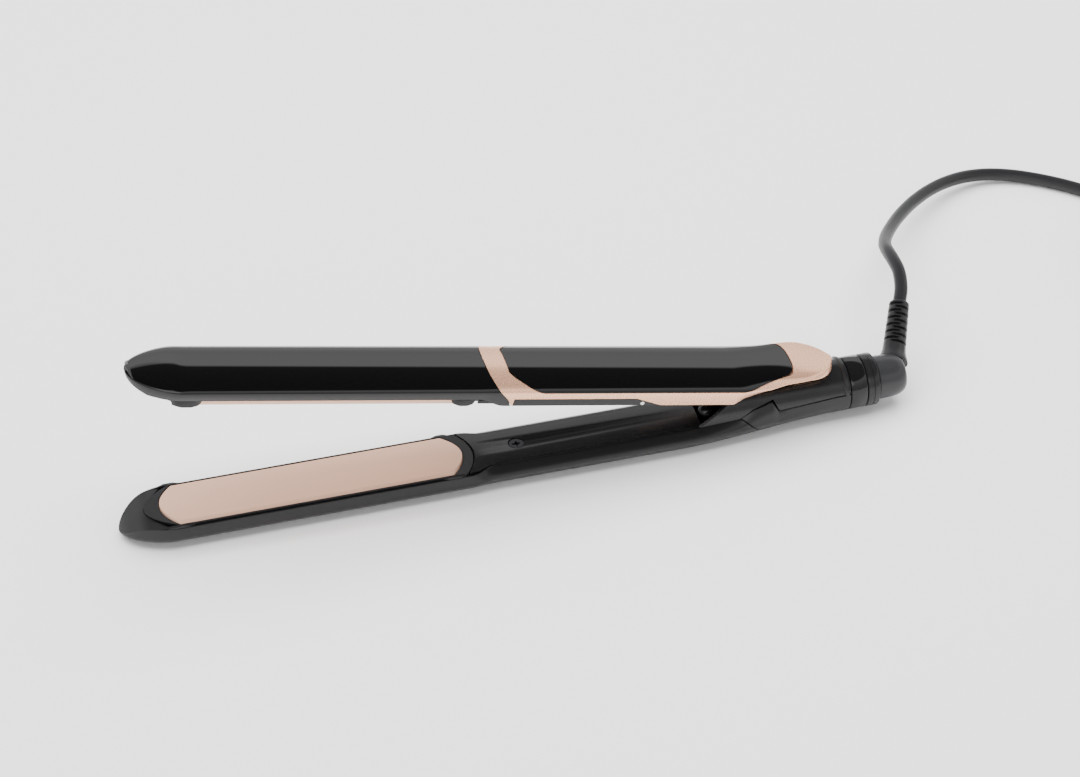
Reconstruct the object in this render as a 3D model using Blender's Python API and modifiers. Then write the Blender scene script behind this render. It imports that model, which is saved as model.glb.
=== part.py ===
"""Flat iron: two hinged arms with floating hot plates, a lock ring, a swivel cord and its plug.

Metres, +Z up. +X runs from the tips to the tail, the arms lie along X and open about Y.
Shapes are written in arm coordinates: s along the arm from the front end of the plates,
v across it, and t away from the plane in which the closed plates meet.
"""
import math

import bmesh
import bpy
import numpy as np
from mathutils import Matrix, Vector

# Whole iron
TIP_LENGTH = 0.0163          # nose in front of the plates
PLATE_LENGTH = 0.120
HANDLE_LENGTH = 0.152        # rear end of the plates to the hinge axis
TAIL_LENGTH = 0.0060         # hinge axis to the rear end of the tail housing
OPEN_ANGLE = math.radians(11.9)
ARM_DEPTH = 0.0115           # plate plane to the outside of the lower arm
FIT = 0.0003                 # gap between pieces that touch
WALL = 0.0016                # moulded shells
RIM_WALL = 0.0005            # shell rims along the lower handle

# Plates and what they ride on
PLATE_FACE = 0.0212
PLATE_BASE = 0.0234
PLATE_BEVEL = 0.0012
PLATE_THICKNESS = 0.0032
PLATE_END_SAG = 0.0062
PLATE_GAP = 0.0005           # between the two plates when the arms are closed
PLATE_TRAVEL = 0.0010
CARRIER_WALL = 0.0004
CARRIER_DEPTH = 0.0052
CARRIER_FRONT = 0.0062       # crescent in front of the plate
CARRIER_REAR = 0.0042
CARRIER_STEP = 0.0010        # carrier lies this much below the plate face
HEATER_LENGTH = 0.070
HEATER_WIDTH = 0.0140
HEATER_THICKNESS = 0.0018
CLAMP_THICKNESS = 0.0008
CUSHION_RADIUS = 0.0040

# Lower arm
LOWER_WIDTH = 0.0146         # half widths
LOWER_RIM = 0.0136
LOWER_FLAT = 0.0050
NOSE_LENGTH = 0.020
HANDLE_RIM = 0.0102
DIAGONAL = 0.0105            # slant of the join between shell and tail
COVER_THICKNESS = 0.0016
SCREW_PLACE = 0.0222         # behind the rear end of the plates
SCREW_RADIUS = 0.0017
SCREW_HEAD = 0.0030

# Upper arm
UPPER_WIDTH = 0.0149
UPPER_DEPTH = 0.0132
TAIL_RADIUS = 0.0107
CREST_DEPTH = TAIL_RADIUS + 0.0039   # rear of the trim, over the tail
CROWN_EDGE = 0.0029          # width of the slope beside the crown
CREST_EDGE = 0.0015          # the same on the rear of the trim
TRIM_BAND = 0.0086
BAND_START = PLATE_LENGTH + 0.0034
TRIM_REAR = 0.0025           # trim ends this far in front of the hinge axis
BUTTON_RADIUS = 0.0030
BUTTON_TRAVEL = 0.0006
BUTTON_PITCH = 0.0125
FIRST_BUTTON = 0.0300        # behind the rear end of the plates
BOARD_LENGTH = 0.060
BOARD_THICKNESS = 0.0012
LAMP_RADIUS = 0.0008

# Tail
PIN_RADIUS = 0.0020
KNUCKLE_WIDTH = 0.0060
KNUCKLE_RADIUS = 0.0036
SPRING_WIRE = 0.00035
SPRING_RADIUS = 0.0007       # clearance of the coil from the pin
RING_LENGTH = 0.0069
COLLAR_LENGTH = 0.0052
SLEEVE_BORE = 0.0059
SLEEVE_WALL = 0.0011
SPINDLE_RADIUS = 0.0047
SPINDLE_BORE = 0.0032
ELBOW_RADIUS = 0.0089
ELBOW_LENGTH = 0.0128
RELIEF_LENGTH = 0.0240
RELIEF_BASE = 0.0048
RELIEF_END = 0.0041
RELIEF_RISE = math.radians(25.0)
RELIEF_LEAN = math.radians(25.0)

# Cord
CORD_DIAMETER = 0.0055
CORD_LAYERS = 3              # turns side by side, and on each other, in the coil
COIL_MID_DIAMETER = 0.0610
TIE_WIDTH = 0.0120
TIE_THICKNESS = 0.0012
PLUG_WIDTH = 0.0350
PLUG_LENGTH = 0.0350
PLUG_THICKNESS = 0.0137
PIN_SPACING = 0.0186
PLUG_PIN_RADIUS = 0.0020
PLUG_PIN_LENGTH = 0.0190
PLUG_STAND = 0.0350          # coil middle to the rear face of the plug
PLUG_NOSE_GAP = 0.0220       # coil middle to the end of the plug's neck
COIL_S = 0.4570
COIL_V = 0.0570
# The cord's way from the strain relief to the coil: s, v and height over the floor
CORD_ROUTE = [
    (0.3161, 0.0405, 0.0308), (0.3165, 0.0480, 0.0312), (0.3171, 0.0553, 0.0300),
    (0.3186, 0.0625, 0.0276), (0.3213, 0.0699, 0.0247), (0.3253, 0.0778, 0.0217),
    (0.3306, 0.0863, 0.0188), (0.3369, 0.0951, 0.0161), (0.3441, 0.1038, 0.0136),
    (0.3523, 0.1122, 0.0113), (0.3615, 0.1199, 0.0092), (0.3716, 0.1262, 0.0072),
    (0.3825, 0.1303, 0.0054), (0.3937, 0.1311, 0.0040), (0.4044, 0.1285, 0.0031),
    (0.4144, 0.1231, 0.0), (0.4237, 0.1160, 0.0), (0.4321, 0.1082, 0.0), (0.4400, 0.1012, 0.0031),
]

# Stations along the arm
PLATE_END = PLATE_LENGTH
HINGE = PLATE_LENGTH + HANDLE_LENGTH
CHEEK_FOOT = HINGE - 0.0585
TAIL_FRONT = HINGE - 0.0405
TAIL_TOP_FRONT = HINGE - 0.0095
HOUSING_END = HINGE + TAIL_LENGTH
RING_START = HOUSING_END + 0.0004
RING_END = RING_START + RING_LENGTH
COLLAR_START = RING_END + FIT
COLLAR_END = COLLAR_START + COLLAR_LENGTH
ELBOW_START = COLLAR_END + FIT
RELIEF_AXIS = ELBOW_START + ELBOW_LENGTH - RELIEF_BASE - 0.0001
SHIFT = -(COLLAR_END - TIP_LENGTH) / 2
CARRIER_HALF = PLATE_BASE / 2 + FIT + CARRIER_WALL

PART = bpy.data.collections.new("flat_iron")
CUTTERS = bpy.data.collections.new("cutters")
MATERIALS = {}


def material(name, colour, roughness, metallic=0.0):
    """Principled material, made once for each name."""
    if name not in MATERIALS:
        made = bpy.data.materials.new(name)
        made.use_nodes = True
        shader = made.node_tree.nodes["Principled BSDF"]
        shader.inputs["Base Color"].default_value = (*colour, 1.0)
        shader.inputs["Roughness"].default_value = roughness
        shader.inputs["Metallic"].default_value = metallic
        MATERIALS[name] = made
    return MATERIALS[name]


def gloss_black():
    return material("gloss_black", (0.010, 0.010, 0.011), 0.10)


def matte_black():
    return material("matte_black", (0.016, 0.016, 0.017), 0.48)


def dark_grey():
    return material("dark_grey", (0.045, 0.045, 0.048), 0.42)


def rose_gold():
    return material("rose_gold", (0.66, 0.42, 0.31), 0.26, 0.85)


def rose_ceramic():
    return material("rose_ceramic", (0.60, 0.42, 0.34), 0.33, 0.45)


def steel():
    return material("steel", (0.55, 0.55, 0.56), 0.30, 1.0)


def brass():
    return material("brass", (0.70, 0.50, 0.22), 0.30, 1.0)


def heater_alumina():
    return material("heater_alumina", (0.78, 0.77, 0.73), 0.60)


def silicone():
    return material("silicone", (0.50, 0.10, 0.07), 0.60)


def board_green():
    return material("board_green", (0.02, 0.16, 0.06), 0.45)


def pale_light():
    return material("pale_light", (0.80, 0.80, 0.78), 0.25)


def cord_rubber():
    return material("cord_rubber", (0.018, 0.018, 0.019), 0.50)


def add(name, mesh, finish, parent=None, collection=None):
    """Put a mesh in the scene as a named sub-part."""
    mesh.name = name
    mesh.materials.clear()
    if finish is not None:
        mesh.materials.append(finish)
    made = bpy.data.objects.new(name, mesh)
    (collection or PART).objects.link(made)
    made.parent = parent
    return made


def mesh_from(bm, name, sharp=35.0):
    """Close a bmesh: weld, point the faces out, shade smooth with sharp edges kept."""
    bmesh.ops.remove_doubles(bm, verts=bm.verts, dist=1e-6)
    bmesh.ops.dissolve_degenerate(bm, dist=1e-6, edges=bm.edges)
    bmesh.ops.recalc_face_normals(bm, faces=bm.faces)
    mesh = bpy.data.meshes.new(name)
    bm.to_mesh(mesh)
    bm.free()
    mesh.shade_smooth()
    mesh.set_sharp_from_angle(angle=math.radians(sharp))
    return mesh


def lower(s, v, t):
    """Arm coordinates of the lower arm to the part's frame."""
    return np.stack(np.broadcast_arrays(s + SHIFT, v, ARM_DEPTH - t), axis=-1)


def upper(s, v, t):
    """Arm coordinates of the upper arm to its pivot's frame, arms closed."""
    return np.stack(np.broadcast_arrays(s - HINGE, v, t + 0.0 * s), axis=-1)


def smooth(x, a, b):
    """0 below a, 1 above b, and an even slope between them."""
    k = np.clip((np.asarray(x, dtype=float) - a) / (b - a), 0.0, 1.0)
    return k * k * (3.0 - 2.0 * k)


def shell_mesh(name, outside, inside, around=False):
    """Closed shell between two grids of points of one size, open at its edges or a tube."""
    bm = bmesh.new()
    rows, columns = outside.shape[:2]
    faces = [[[bm.verts.new(grid[i, j]) for j in range(columns)] for i in range(rows)]
             for grid in (outside, inside)]
    out, inn = faces
    last = columns if around else columns - 1
    for i in range(rows - 1):
        for j in range(last):
            k = (j + 1) % columns
            bm.faces.new((out[i][j], out[i + 1][j], out[i + 1][k], out[i][k]))
            bm.faces.new((inn[i][k], inn[i + 1][k], inn[i + 1][j], inn[i][j]))
        if not around:
            for j in (0, columns - 1):
                bm.faces.new((out[i][j], inn[i][j], inn[i + 1][j], out[i + 1][j]))
    for j in range(last):
        k = (j + 1) % columns
        for i in (0, rows - 1):
            bm.faces.new((out[i][j], out[i][k], inn[i][k], inn[i][j]))
    return mesh_from(bm, name)


def prism_mesh(name, outline, low, high):
    """Flat outline in (x, z) carried along Y from low to high."""
    bm = bmesh.new()
    near = [bm.verts.new((x, low, z)) for x, z in outline]
    face = bm.faces.new(near)
    moved = bmesh.ops.extrude_face_region(bm, geom=[face])
    for item in moved["geom"]:
        if isinstance(item, bmesh.types.BMVert):
            item.co.y = high
    return mesh_from(bm, name)


def slab_mesh(name, outline, low, high):
    """Flat outline in (x, y) carried along Z from low to high."""
    bm = bmesh.new()
    face = bm.faces.new([bm.verts.new((x, y, low)) for x, y in outline])
    moved = bmesh.ops.extrude_face_region(bm, geom=[face])
    for item in moved["geom"]:
        if isinstance(item, bmesh.types.BMVert):
            item.co.z = high
    return mesh_from(bm, name)


def box_mesh(name, low, high):
    bm = bmesh.new()
    bmesh.ops.create_cube(bm, size=1.0)
    size = Vector(high) - Vector(low)
    middle = (Vector(high) + Vector(low)) / 2
    bmesh.ops.scale(bm, vec=size, verts=bm.verts)
    bmesh.ops.translate(bm, vec=middle, verts=bm.verts)
    return mesh_from(bm, name)


def round_mesh(name, radius, end_radius, start, end, sides=32):
    """Cylinder or cone from one point to another."""
    start, end = Vector(start), Vector(end)
    bm = bmesh.new()
    bmesh.ops.create_cone(bm, cap_ends=True, segments=sides, radius1=radius,
                          radius2=end_radius, depth=(end - start).length)
    turn = Vector((0, 0, 1)).rotation_difference(end - start).to_matrix().to_4x4()
    bmesh.ops.transform(bm, matrix=Matrix.Translation((start + end) / 2) @ turn, verts=bm.verts)
    return mesh_from(bm, name)


def turned(name, profile, finish, x=0.0, z=0.0, parent=None, collection=None, steps=40):
    """Ring or shaft about the X direction: (radius, distance along X), outer side from the rear."""
    mesh = bpy.data.meshes.new(name)
    closed = profile[0][0] > 0.0
    edges = [(i, i + 1) for i in range(len(profile) - 1)]
    if closed:
        edges.append((len(profile) - 1, 0))
    mesh.from_pydata([(r, 0.0, h) for r, h in profile], edges, [])
    made = add(name, mesh, finish, parent, collection)
    screw = made.modifiers.new("Screw", "SCREW")
    screw.steps = steps
    screw.render_steps = steps
    screw.use_merge_vertices = True
    screw.merge_threshold = 0.00001
    screw.use_smooth_shade = True
    made.rotation_euler = (0.0, math.pi / 2, 0.0)
    made.location = (x, 0.0, z)
    return made


def ring_profile(inner, outer, start, end, bevel=0.0):
    """Closed ring section with bevelled outer corners, running down its outer side."""
    if bevel == 0.0:
        return [(outer, end), (outer, start), (inner, start), (inner, end)]
    return [(outer - bevel, end), (outer, end - bevel), (outer, start + bevel),
            (outer - bevel, start), (inner, start), (inner, end)]


def bevel(made, width, segments=1, angle=40.0):
    mod = made.modifiers.new("Bevel", "BEVEL")
    mod.width = width
    mod.segments = segments
    mod.limit_method = "ANGLE"
    mod.angle_limit = math.radians(angle)


def combine(made, cutter, operation):
    """Boolean with a cutter that stays out of sight."""
    cutter.hide_render = True
    cutter.display_type = "WIRE"
    mod = made.modifiers.new(operation.title(), "BOOLEAN")
    mod.operation = operation
    mod.solver = "EXACT"
    mod.object = cutter


def cutter_of(name, mesh, parent=None):
    return add(name, mesh, None, parent, CUTTERS)


# ---------------------------------------------------------------- general shapes

def stack_mesh(name, rings):
    """Closed solid through a stack of outlines that have the same number of corners."""
    bm = bmesh.new()
    loops = [[bm.verts.new(point) for point in ring] for ring in rings]
    for near, far in zip(loops, loops[1:]):
        for i in range(len(near)):
            k = (i + 1) % len(near)
            bm.faces.new((near[i], near[k], far[k], far[i]))
    bm.faces.new(loops[0])
    bm.faces.new(loops[-1][::-1])
    return mesh_from(bm, name)


def disc(place, s, v, t, radius, count=32):
    """Circle in a plane of constant t."""
    angle = 0.047 + np.linspace(0.0, 2.0 * math.pi, count, endpoint=False)
    return place(s + radius * np.cos(angle), v + radius * np.sin(angle), t + 0.0 * angle)


def post(name, place, s, v, steps, finish, parent=None):
    """Round post across an arm, through (t, radius) steps."""
    return add(name, stack_mesh(name, [disc(place, s, v, t, r) for t, r in steps]), finish, parent)


def slab(name, place, s, v, t, finish, parent=None):
    """Box between two stations, two offsets across and two depths."""
    rings = []
    for depth in t:
        corners_s = np.array([s[0], s[1], s[1], s[0]])
        corners_v = np.array([v[0], v[0], v[1], v[1]])
        rings.append(place(corners_s, corners_v, np.full(4, depth)))
    return add(name, stack_mesh(name, rings), finish, parent)


def smooth_curve(points, spacing):
    """Points an even spacing apart on a smooth curve through the given ones."""
    points = np.array(points, dtype=float)
    ends = np.vstack([2 * points[0] - points[1], points, 2 * points[-1] - points[-2]])
    u = np.linspace(0.0, 1.0, 12, endpoint=False)[:, None]
    fine = []
    for a, b, c, d in zip(ends, ends[1:], ends[2:], ends[3:]):
        fine.append(0.5 * (2 * b + (c - a) * u + (2 * a - 5 * b + 4 * c - d) * u ** 2
                           + (3 * b - a - 3 * c + d) * u ** 3))
    fine = np.vstack(fine + [points[-1:]])
    run = np.concatenate([[0.0], np.cumsum(np.linalg.norm(np.diff(fine, axis=0), axis=1))])
    count = max(int(round(run[-1] / spacing)), 2)
    even = np.linspace(0.0, run[-1], count + 1)
    return np.stack([np.interp(even, run, fine[:, i]) for i in range(3)], axis=1)


def tube(name, points, radius, finish, resolution=2, parent=None):
    """Round tube along a line of points."""
    curve = bpy.data.curves.new(name, "CURVE")
    curve.dimensions = "3D"
    curve.bevel_depth = radius
    curve.bevel_resolution = resolution
    curve.use_fill_caps = True
    spline = curve.splines.new("POLY")
    spline.points.add(len(points) - 1)
    for place, point in zip(spline.points, points):
        place.co = (*point, 1.0)
    curve.materials.append(finish)
    made = bpy.data.objects.new(name, curve)
    PART.objects.link(made)
    made.parent = parent
    return made


# ---------------------------------------------------------------- arm sections

HALF = np.array([0.0, 0.35, 0.7, 1.0, 1.5, 2.0, 2.2, 2.4, 2.55, 2.8])


def both_sides(rows):
    """Section stations from the near rim over the crown to the far rim."""
    k = np.concatenate([HALF, HALF[::-1]])
    sign = np.concatenate([-np.ones(len(HALF)), np.ones(len(HALF))])
    return np.tile(k, (rows, 1)), np.tile(sign, (rows, 1))


def section(k, width, rim, rim_t, wide_t, edge, edge_t, depth, flat):
    """Half an arm's section: rim (k=0), widest line (1), crown edge (2), crown middle (3)."""
    side = np.clip(k, 0.0, 1.0)
    chamfer = np.clip(k - 1.0, 0.0, 1.0)
    crown = np.clip(k - 2.0, 0.0, 1.0)
    v = rim + (width - rim) * np.sin(side * math.pi / 2)
    v = np.where(k > 1.0, width - (width - edge) * chamfer, v)
    v = np.where(k > 2.0, edge * (1.0 - crown), v)
    t = rim_t + (wide_t - rim_t) * side
    t = np.where(k > 1.0, wide_t + (edge_t - wide_t) * chamfer, t)
    rise = np.clip((v - flat) / np.maximum(edge - flat, 1e-6), 0.0, 1.0)
    t = np.where(k > 2.0, edge_t + (depth - edge_t) * (1.0 - rise ** 2), t)
    return v, t


def slanted(stations, fronts=None, rears=None, reach=0.012):
    """Stations for every column, made to begin or finish on a slanting line."""
    columns = 2 * len(HALF)
    s = np.repeat(stations[:, None], columns, axis=1)
    if fronts is not None:
        share = np.clip((stations[0] + reach - s) / reach, 0.0, 1.0)
        s = s + share * (fronts - stations[0])
    if rears is not None:
        share = np.clip((s - stations[-1] + reach) / reach, 0.0, 1.0)
        s = s + share * (rears - stations[-1])
    return s


def nose(s):
    """Share of the full width reached at s, from the tip back."""
    k = np.clip((s + TIP_LENGTH) / NOSE_LENGTH, 0.0, 1.0)
    return np.sqrt(np.clip(1.0 - (1.0 - k) ** 1.5, 0.0, 1.0))


def seam(s):
    """Height above the plate plane of the join between the tail's two covers."""
    along = HINGE + np.array([-0.0590, -0.0405, -0.0352, -0.0270, -0.0245, -0.0010, 0.0060])
    return np.interp(s, along, [-0.0012, -0.0003, 0.0028, 0.0049, 0.0003, 0.0019, 0.0021])


def lower_rim(s):
    """Half width inside the rims of the lower arm."""
    handle = smooth(s, PLATE_END + 0.001, PLATE_END + 0.012)
    wide = PLATE_BASE / 2 + CARRIER_WALL + 2 * FIT
    return wide * (1 - handle) + (HANDLE_RIM - RIM_WALL) * handle


def lower_surface(s, wall=0.0):
    """Outside of the lower arm, or its inside when a wall is given."""
    k, sign = both_sides(len(s))
    full = nose(s)
    handle = smooth(s, PLATE_END + 0.001, PLATE_END + 0.012)
    tail = smooth(s, CHEEK_FOOT - 0.006, HINGE + 0.003)
    width = LOWER_WIDTH - 0.0002 * handle - wall
    rim = LOWER_RIM * (1 - handle) + HANDLE_RIM * handle if wall == 0.0 else lower_rim(s)
    rim = np.minimum(rim, width - 0.0003)
    rim_t = 0.0020 - 0.0008 * handle + 0.0068 * (1 - smooth(s, -TIP_LENGTH, 0.002 - CARRIER_FRONT))
    rim_t = np.where(s > HINGE - 0.0590, -seam(s), rim_t)
    low = 0.0088
    wide_t = low + (0.0069 - 0.0019 * handle - low) * full
    edge_t = low + (0.0102 - wall - low) * full
    depth = low + (ARM_DEPTH - wall - low) * full
    v, t = section(k, width * full, rim * full, np.minimum(rim_t, wide_t - 0.0001 * full), wide_t,
                   (width - 0.0034) * full, edge_t, depth, LOWER_FLAT * full)
    start = math.pi / 2 - np.arcsin(np.clip(seam(s) / TAIL_RADIUS, -1.0, 1.0))
    angle = start + (math.pi - start) * k / 3.0
    v = v * (1 - tail) + (TAIL_RADIUS - wall) * np.sin(angle) * tail
    t = t * (1 - tail) - (TAIL_RADIUS - wall) * np.cos(angle) * tail
    return lower(s, v * sign, t)


def upper_surface(s, wall=0.0):
    """Outside of the upper arm in its pivot's frame, or its inside when a wall is given."""
    k, sign = both_sides(len(s))
    full = nose(s)
    handle = smooth(s, PLATE_END, PLATE_END + 0.010)
    crest = smooth(s, HINGE - 0.046, HINGE - 0.012)
    end = HINGE - TRIM_REAR
    close = np.clip((s - (HINGE - 0.022)) / (end - (HINGE - 0.022)), 0.0, 1.0)
    taper = np.sqrt(np.clip(1.0 - close ** 2.6, 0.0, 1.0))
    width = (UPPER_WIDTH - 0.0019 * smooth(s, HINGE - 0.046, HINGE - 0.022)) * taper - wall
    width = np.maximum(width, 0.0004)
    rim_t = 0.0042 * (1 - handle) + 0.0012 * handle
    lift = np.interp(s, HINGE + np.array([-0.046, -0.0422, -0.0245, -0.016]), [0.0, 0.3, 0.84, 1.0])
    rim_t = rim_t + (TAIL_RADIUS + 0.0006 - rim_t) * lift
    wide_t = np.maximum(0.0084, rim_t + 0.0009)
    edge_t = UPPER_DEPTH - 0.0020 + (CREST_DEPTH - UPPER_DEPTH + 0.0015) * crest - wall
    edge_t = np.maximum(edge_t, wide_t + 0.0001)
    depth = np.maximum(UPPER_DEPTH * (1 - crest) + CREST_DEPTH * crest - wall, edge_t + 0.0001)
    low = 0.0086
    rim_t = low + (rim_t - low) * np.minimum(full * 1.4, 1.0)
    wide_t = low + (wide_t - low) * full
    edge_t = low + (edge_t - low) * full ** 1.7
    depth = low + (depth - low) * full ** 1.7
    rim = np.maximum(width - (0.0012 if wall == 0.0 else 0.0009), 0.0002)
    slope = CROWN_EDGE + (CREST_EDGE - CROWN_EDGE) * crest
    v, t = section(k, width * full, rim * full, rim_t, wide_t,
                   np.maximum(width - slope, 0.6 * width) * full, edge_t, depth, 0.0020 * full)
    return upper(s, v * sign, t)


def arm_shell(name, surface, s, solid_to=None):
    """Shell on one of the arm surfaces; in front of solid_to it is filled."""
    outside = surface(s)
    if solid_to is None:
        rear = smooth(s, HINGE - 0.030, HINGE - TRIM_REAR) if surface is upper_surface else 0.0
        return shell_mesh(name, outside, surface(s - WALL * rear, WALL))
    inside = surface(np.maximum(s, solid_to), WALL)
    share = np.clip((s - s[0]) / (solid_to - s[0]), 0.0, 1.0)[..., None]
    front = inside[0]
    centre = (front[0] + front[-1]) / 2
    inside = centre + (inside - centre) * share
    outside[0] = outside[0].mean(axis=0)
    return shell_mesh(name, outside, inside)


# ---------------------------------------------------------------- plates and their beds

def plate_outline(half, front, rear, front_sag, rear_sag, count=13):
    """Outline with bowed ends, (s, v), front end first and the same count for any size."""
    q = np.linspace(-1.0, 1.0, count)
    s = np.concatenate([front + front_sag * q ** 2, rear - rear_sag * q ** 2])
    v = np.concatenate([half * q, -half * q])
    return s, v


def build_plate(side, place, parent):
    """Coated plate, bevelled along its edges."""
    rings = []
    for half, t in ((PLATE_FACE / 2, PLATE_GAP / 2), (PLATE_BASE / 2, PLATE_GAP / 2 + PLATE_BEVEL),
                    (PLATE_BASE / 2, PLATE_THICKNESS)):
        s, v = plate_outline(half, 0.0, PLATE_LENGTH, PLATE_END_SAG, PLATE_END_SAG)
        rings.append(place(s, v, np.full(len(s), t)))
    add(side + "_plate", stack_mesh("plate", rings), rose_ceramic(), parent)
    start = PLATE_LENGTH / 2 - HEATER_LENGTH / 2
    heater = (PLATE_THICKNESS + FIT, PLATE_THICKNESS + FIT + HEATER_THICKNESS)
    slab(side + "_heater", place, (start, start + HEATER_LENGTH), (-HEATER_WIDTH / 2, HEATER_WIDTH / 2),
         heater, heater_alumina(), parent)
    clamp = (heater[1] + FIT, heater[1] + FIT + CLAMP_THICKNESS)
    slab(side + "_heater_clamp", place, (start + 0.004, start + HEATER_LENGTH - 0.004),
         (-HEATER_WIDTH / 2 + 0.001, HEATER_WIDTH / 2 - 0.001), clamp, steel(), parent)
    slab(side + "_thermistor", place, (start - 0.0055, start - 0.0015), (-0.0011, 0.0011),
         (PLATE_THICKNESS + FIT, PLATE_THICKNESS + FIT + 0.0016), board_green(), parent)


def build_carrier(side, place, side_start, parent=None):
    """Frame round a plate: a crescent at each end and a thin wall along each side."""
    hole = plate_outline(PLATE_BASE / 2 + FIT, -FIT, PLATE_LENGTH + FIT, PLATE_END_SAG, PLATE_END_SAG)
    rim = plate_outline(PLATE_BASE / 2 + FIT + CARRIER_WALL, -CARRIER_FRONT,
                        PLATE_LENGTH + CARRIER_REAR, PLATE_END_SAG + CARRIER_FRONT - 0.0004,
                        PLATE_END_SAG + CARRIER_REAR - 0.0056)
    count = len(hole[0]) // 2
    q = np.abs(np.concatenate([np.linspace(-1, 1, count)] * 2))
    top = CARRIER_STEP + (side_start - CARRIER_STEP) * (q > 0.99)
    foot = np.full(2 * count, CARRIER_STEP + CARRIER_DEPTH)
    outside = np.stack([place(*rim, top), place(*rim, foot)])
    inside = np.stack([place(*hole, top), place(*hole, foot)])
    frame = add(side + "_plate_carrier", shell_mesh("carrier", outside, inside, around=True),
                matte_black(), parent)
    lug_foot = (0.0018 if side == "lower" else 0.0039)
    for end, start, stop in (("front", -0.0005, 0.0120), ("rear", PLATE_LENGTH - 0.0110,
                                                         PLATE_LENGTH - 0.0008)):
        for hand in (-1, 1):
            lug = add(side + "_lug_" + end + ("_a" if hand < 0 else "_b"),
                      lug_mesh(place, start, stop, hand, lug_foot), None, parent, CUTTERS)
            combine(frame, lug, "UNION")


def lug_mesh(place, start, stop, hand, foot):
    """Ear at a carrier's corner that lies over the rim of the arm's shell."""
    inner = CARRIER_HALF - 0.0002
    reach = np.array([0.0, 0.0008, 0.0012, 0.0012, 0.0008, 0.0])
    s = start + (stop - start) * np.array([0.0, 0.10, 0.25, 0.75, 0.90, 1.0])
    s = np.concatenate([s, s[::-1]])
    v = hand * np.concatenate([inner + 0.0001 + reach, np.full(6, inner)])
    middle = (start + stop) / 2
    steps = ((CARRIER_STEP + 0.0001, 0.55), (CARRIER_STEP + 0.0006, 0.85), (foot, 1.0))
    return stack_mesh("lug", [place(middle + (s - middle) * share, v, np.full(12, t))
                              for t, share in steps])


def build_cushions(side, place, depth, parent=None):
    """Silicone pads that hold a plate up and let it float."""
    top = PLATE_THICKNESS + PLATE_TRAVEL + FIT
    foot = depth - WALL - FIT
    for end, s in (("front", 0.014), ("rear", PLATE_LENGTH - 0.014)):
        post(side + "_cushion_" + end, place, s, 0.0,
             [(top, CUSHION_RADIUS - 0.0006), (top + 0.0006, CUSHION_RADIUS), (foot, CUSHION_RADIUS)],
             silicone(), parent)


# ---------------------------------------------------------------- lower arm

def cover_mesh(name, place, front, rear, half, t_middle, t_edge, thickness):
    """Gently crowned strip that closes a handle; front and half are functions."""
    q = np.linspace(-1.0, 1.0, 13)[None, :]
    r = np.linspace(0.0, 1.0, 25)[:, None]
    s = front(q) + (rear - front(q)) * r
    v = q * half(s)
    t = t_middle + (t_edge - t_middle) * q ** 2 + 0.0 * r
    return shell_mesh(name, place(s, v, t), place(s, v, t + thickness))


def behind_carrier(q):
    """Front edge of a handle's inner cover: it follows the plate carrier."""
    return PLATE_LENGTH + CARRIER_REAR + 2 * FIT - 0.0048 * q ** 2


def build_lower_arm():
    stations = np.concatenate([-TIP_LENGTH + NOSE_LENGTH * np.linspace(0.0, 1.0, 11) ** 2,
                               np.linspace(0.020, PLATE_END - 0.001, 5),
                               np.linspace(PLATE_END + 0.001, PLATE_END + 0.012, 6),
                               np.linspace(PLATE_END + 0.030, CHEEK_FOOT - 0.006, 4),
                               np.linspace(CHEEK_FOOT - 0.0005, TAIL_FRONT, 6)])
    k = both_sides(1)[0][0]
    rears = TAIL_FRONT + DIAGONAL * np.clip(k / 2.0, 0.0, 1.0)
    s = slanted(stations, rears=rears, reach=0.010)
    add("lower_outer_shell", arm_shell("shell", lower_surface, s, -CARRIER_FRONT - 2 * FIT),
        matte_black())

    build_plate("lower", lower, None)
    build_carrier("lower", lower, CARRIER_STEP)
    build_cushions("lower", lower, ARM_DEPTH)

    def half(s):
        inside_cheeks = TAIL_RADIUS - WALL - FIT
        wide = lower_rim(s) - FIT
        return np.where(s > CHEEK_FOOT - 0.001, np.minimum(wide, inside_cheeks), wide)

    cover = add("lower_inner_cover",
                cover_mesh("cover", lower, behind_carrier, CHEEK_FOOT + 0.0025, half, 0.0006, 0.0010,
                           COVER_THICKNESS), matte_black())
    at = PLATE_END + SCREW_PLACE
    top = 0.0006
    hole = stack_mesh("hole", [disc(lower, at, 0.0, top - 0.0010, SCREW_HEAD + FIT),
                               disc(lower, at, 0.0, top + 0.0006, SCREW_HEAD + FIT),
                               disc(lower, at, 0.0, top + 0.0013, SCREW_RADIUS + FIT),
                               disc(lower, at, 0.0, top + COVER_THICKNESS + 0.001,
                                    SCREW_RADIUS + FIT)])
    combine(cover, cutter_of("screw_hole", hole), "DIFFERENCE")
    post("cover_screw", lower, at, 0.0,
         [(top + 0.0004, SCREW_HEAD - 0.0003), (top + 0.0006, SCREW_HEAD),
          (top + 0.0013, SCREW_RADIUS), (ARM_DEPTH - WALL - 0.0010, SCREW_RADIUS)], steel())
    bumper = CHEEK_FOOT + 0.0068
    post("arm_bumper", lower, bumper, 0.0,
         [(-0.0014, 0.0008), (-0.0009, 0.0020), (0.0002, 0.0030), (0.0016, 0.0034),
          (0.0022, 0.0034)], gloss_black())


# ---------------------------------------------------------------- tail

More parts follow.
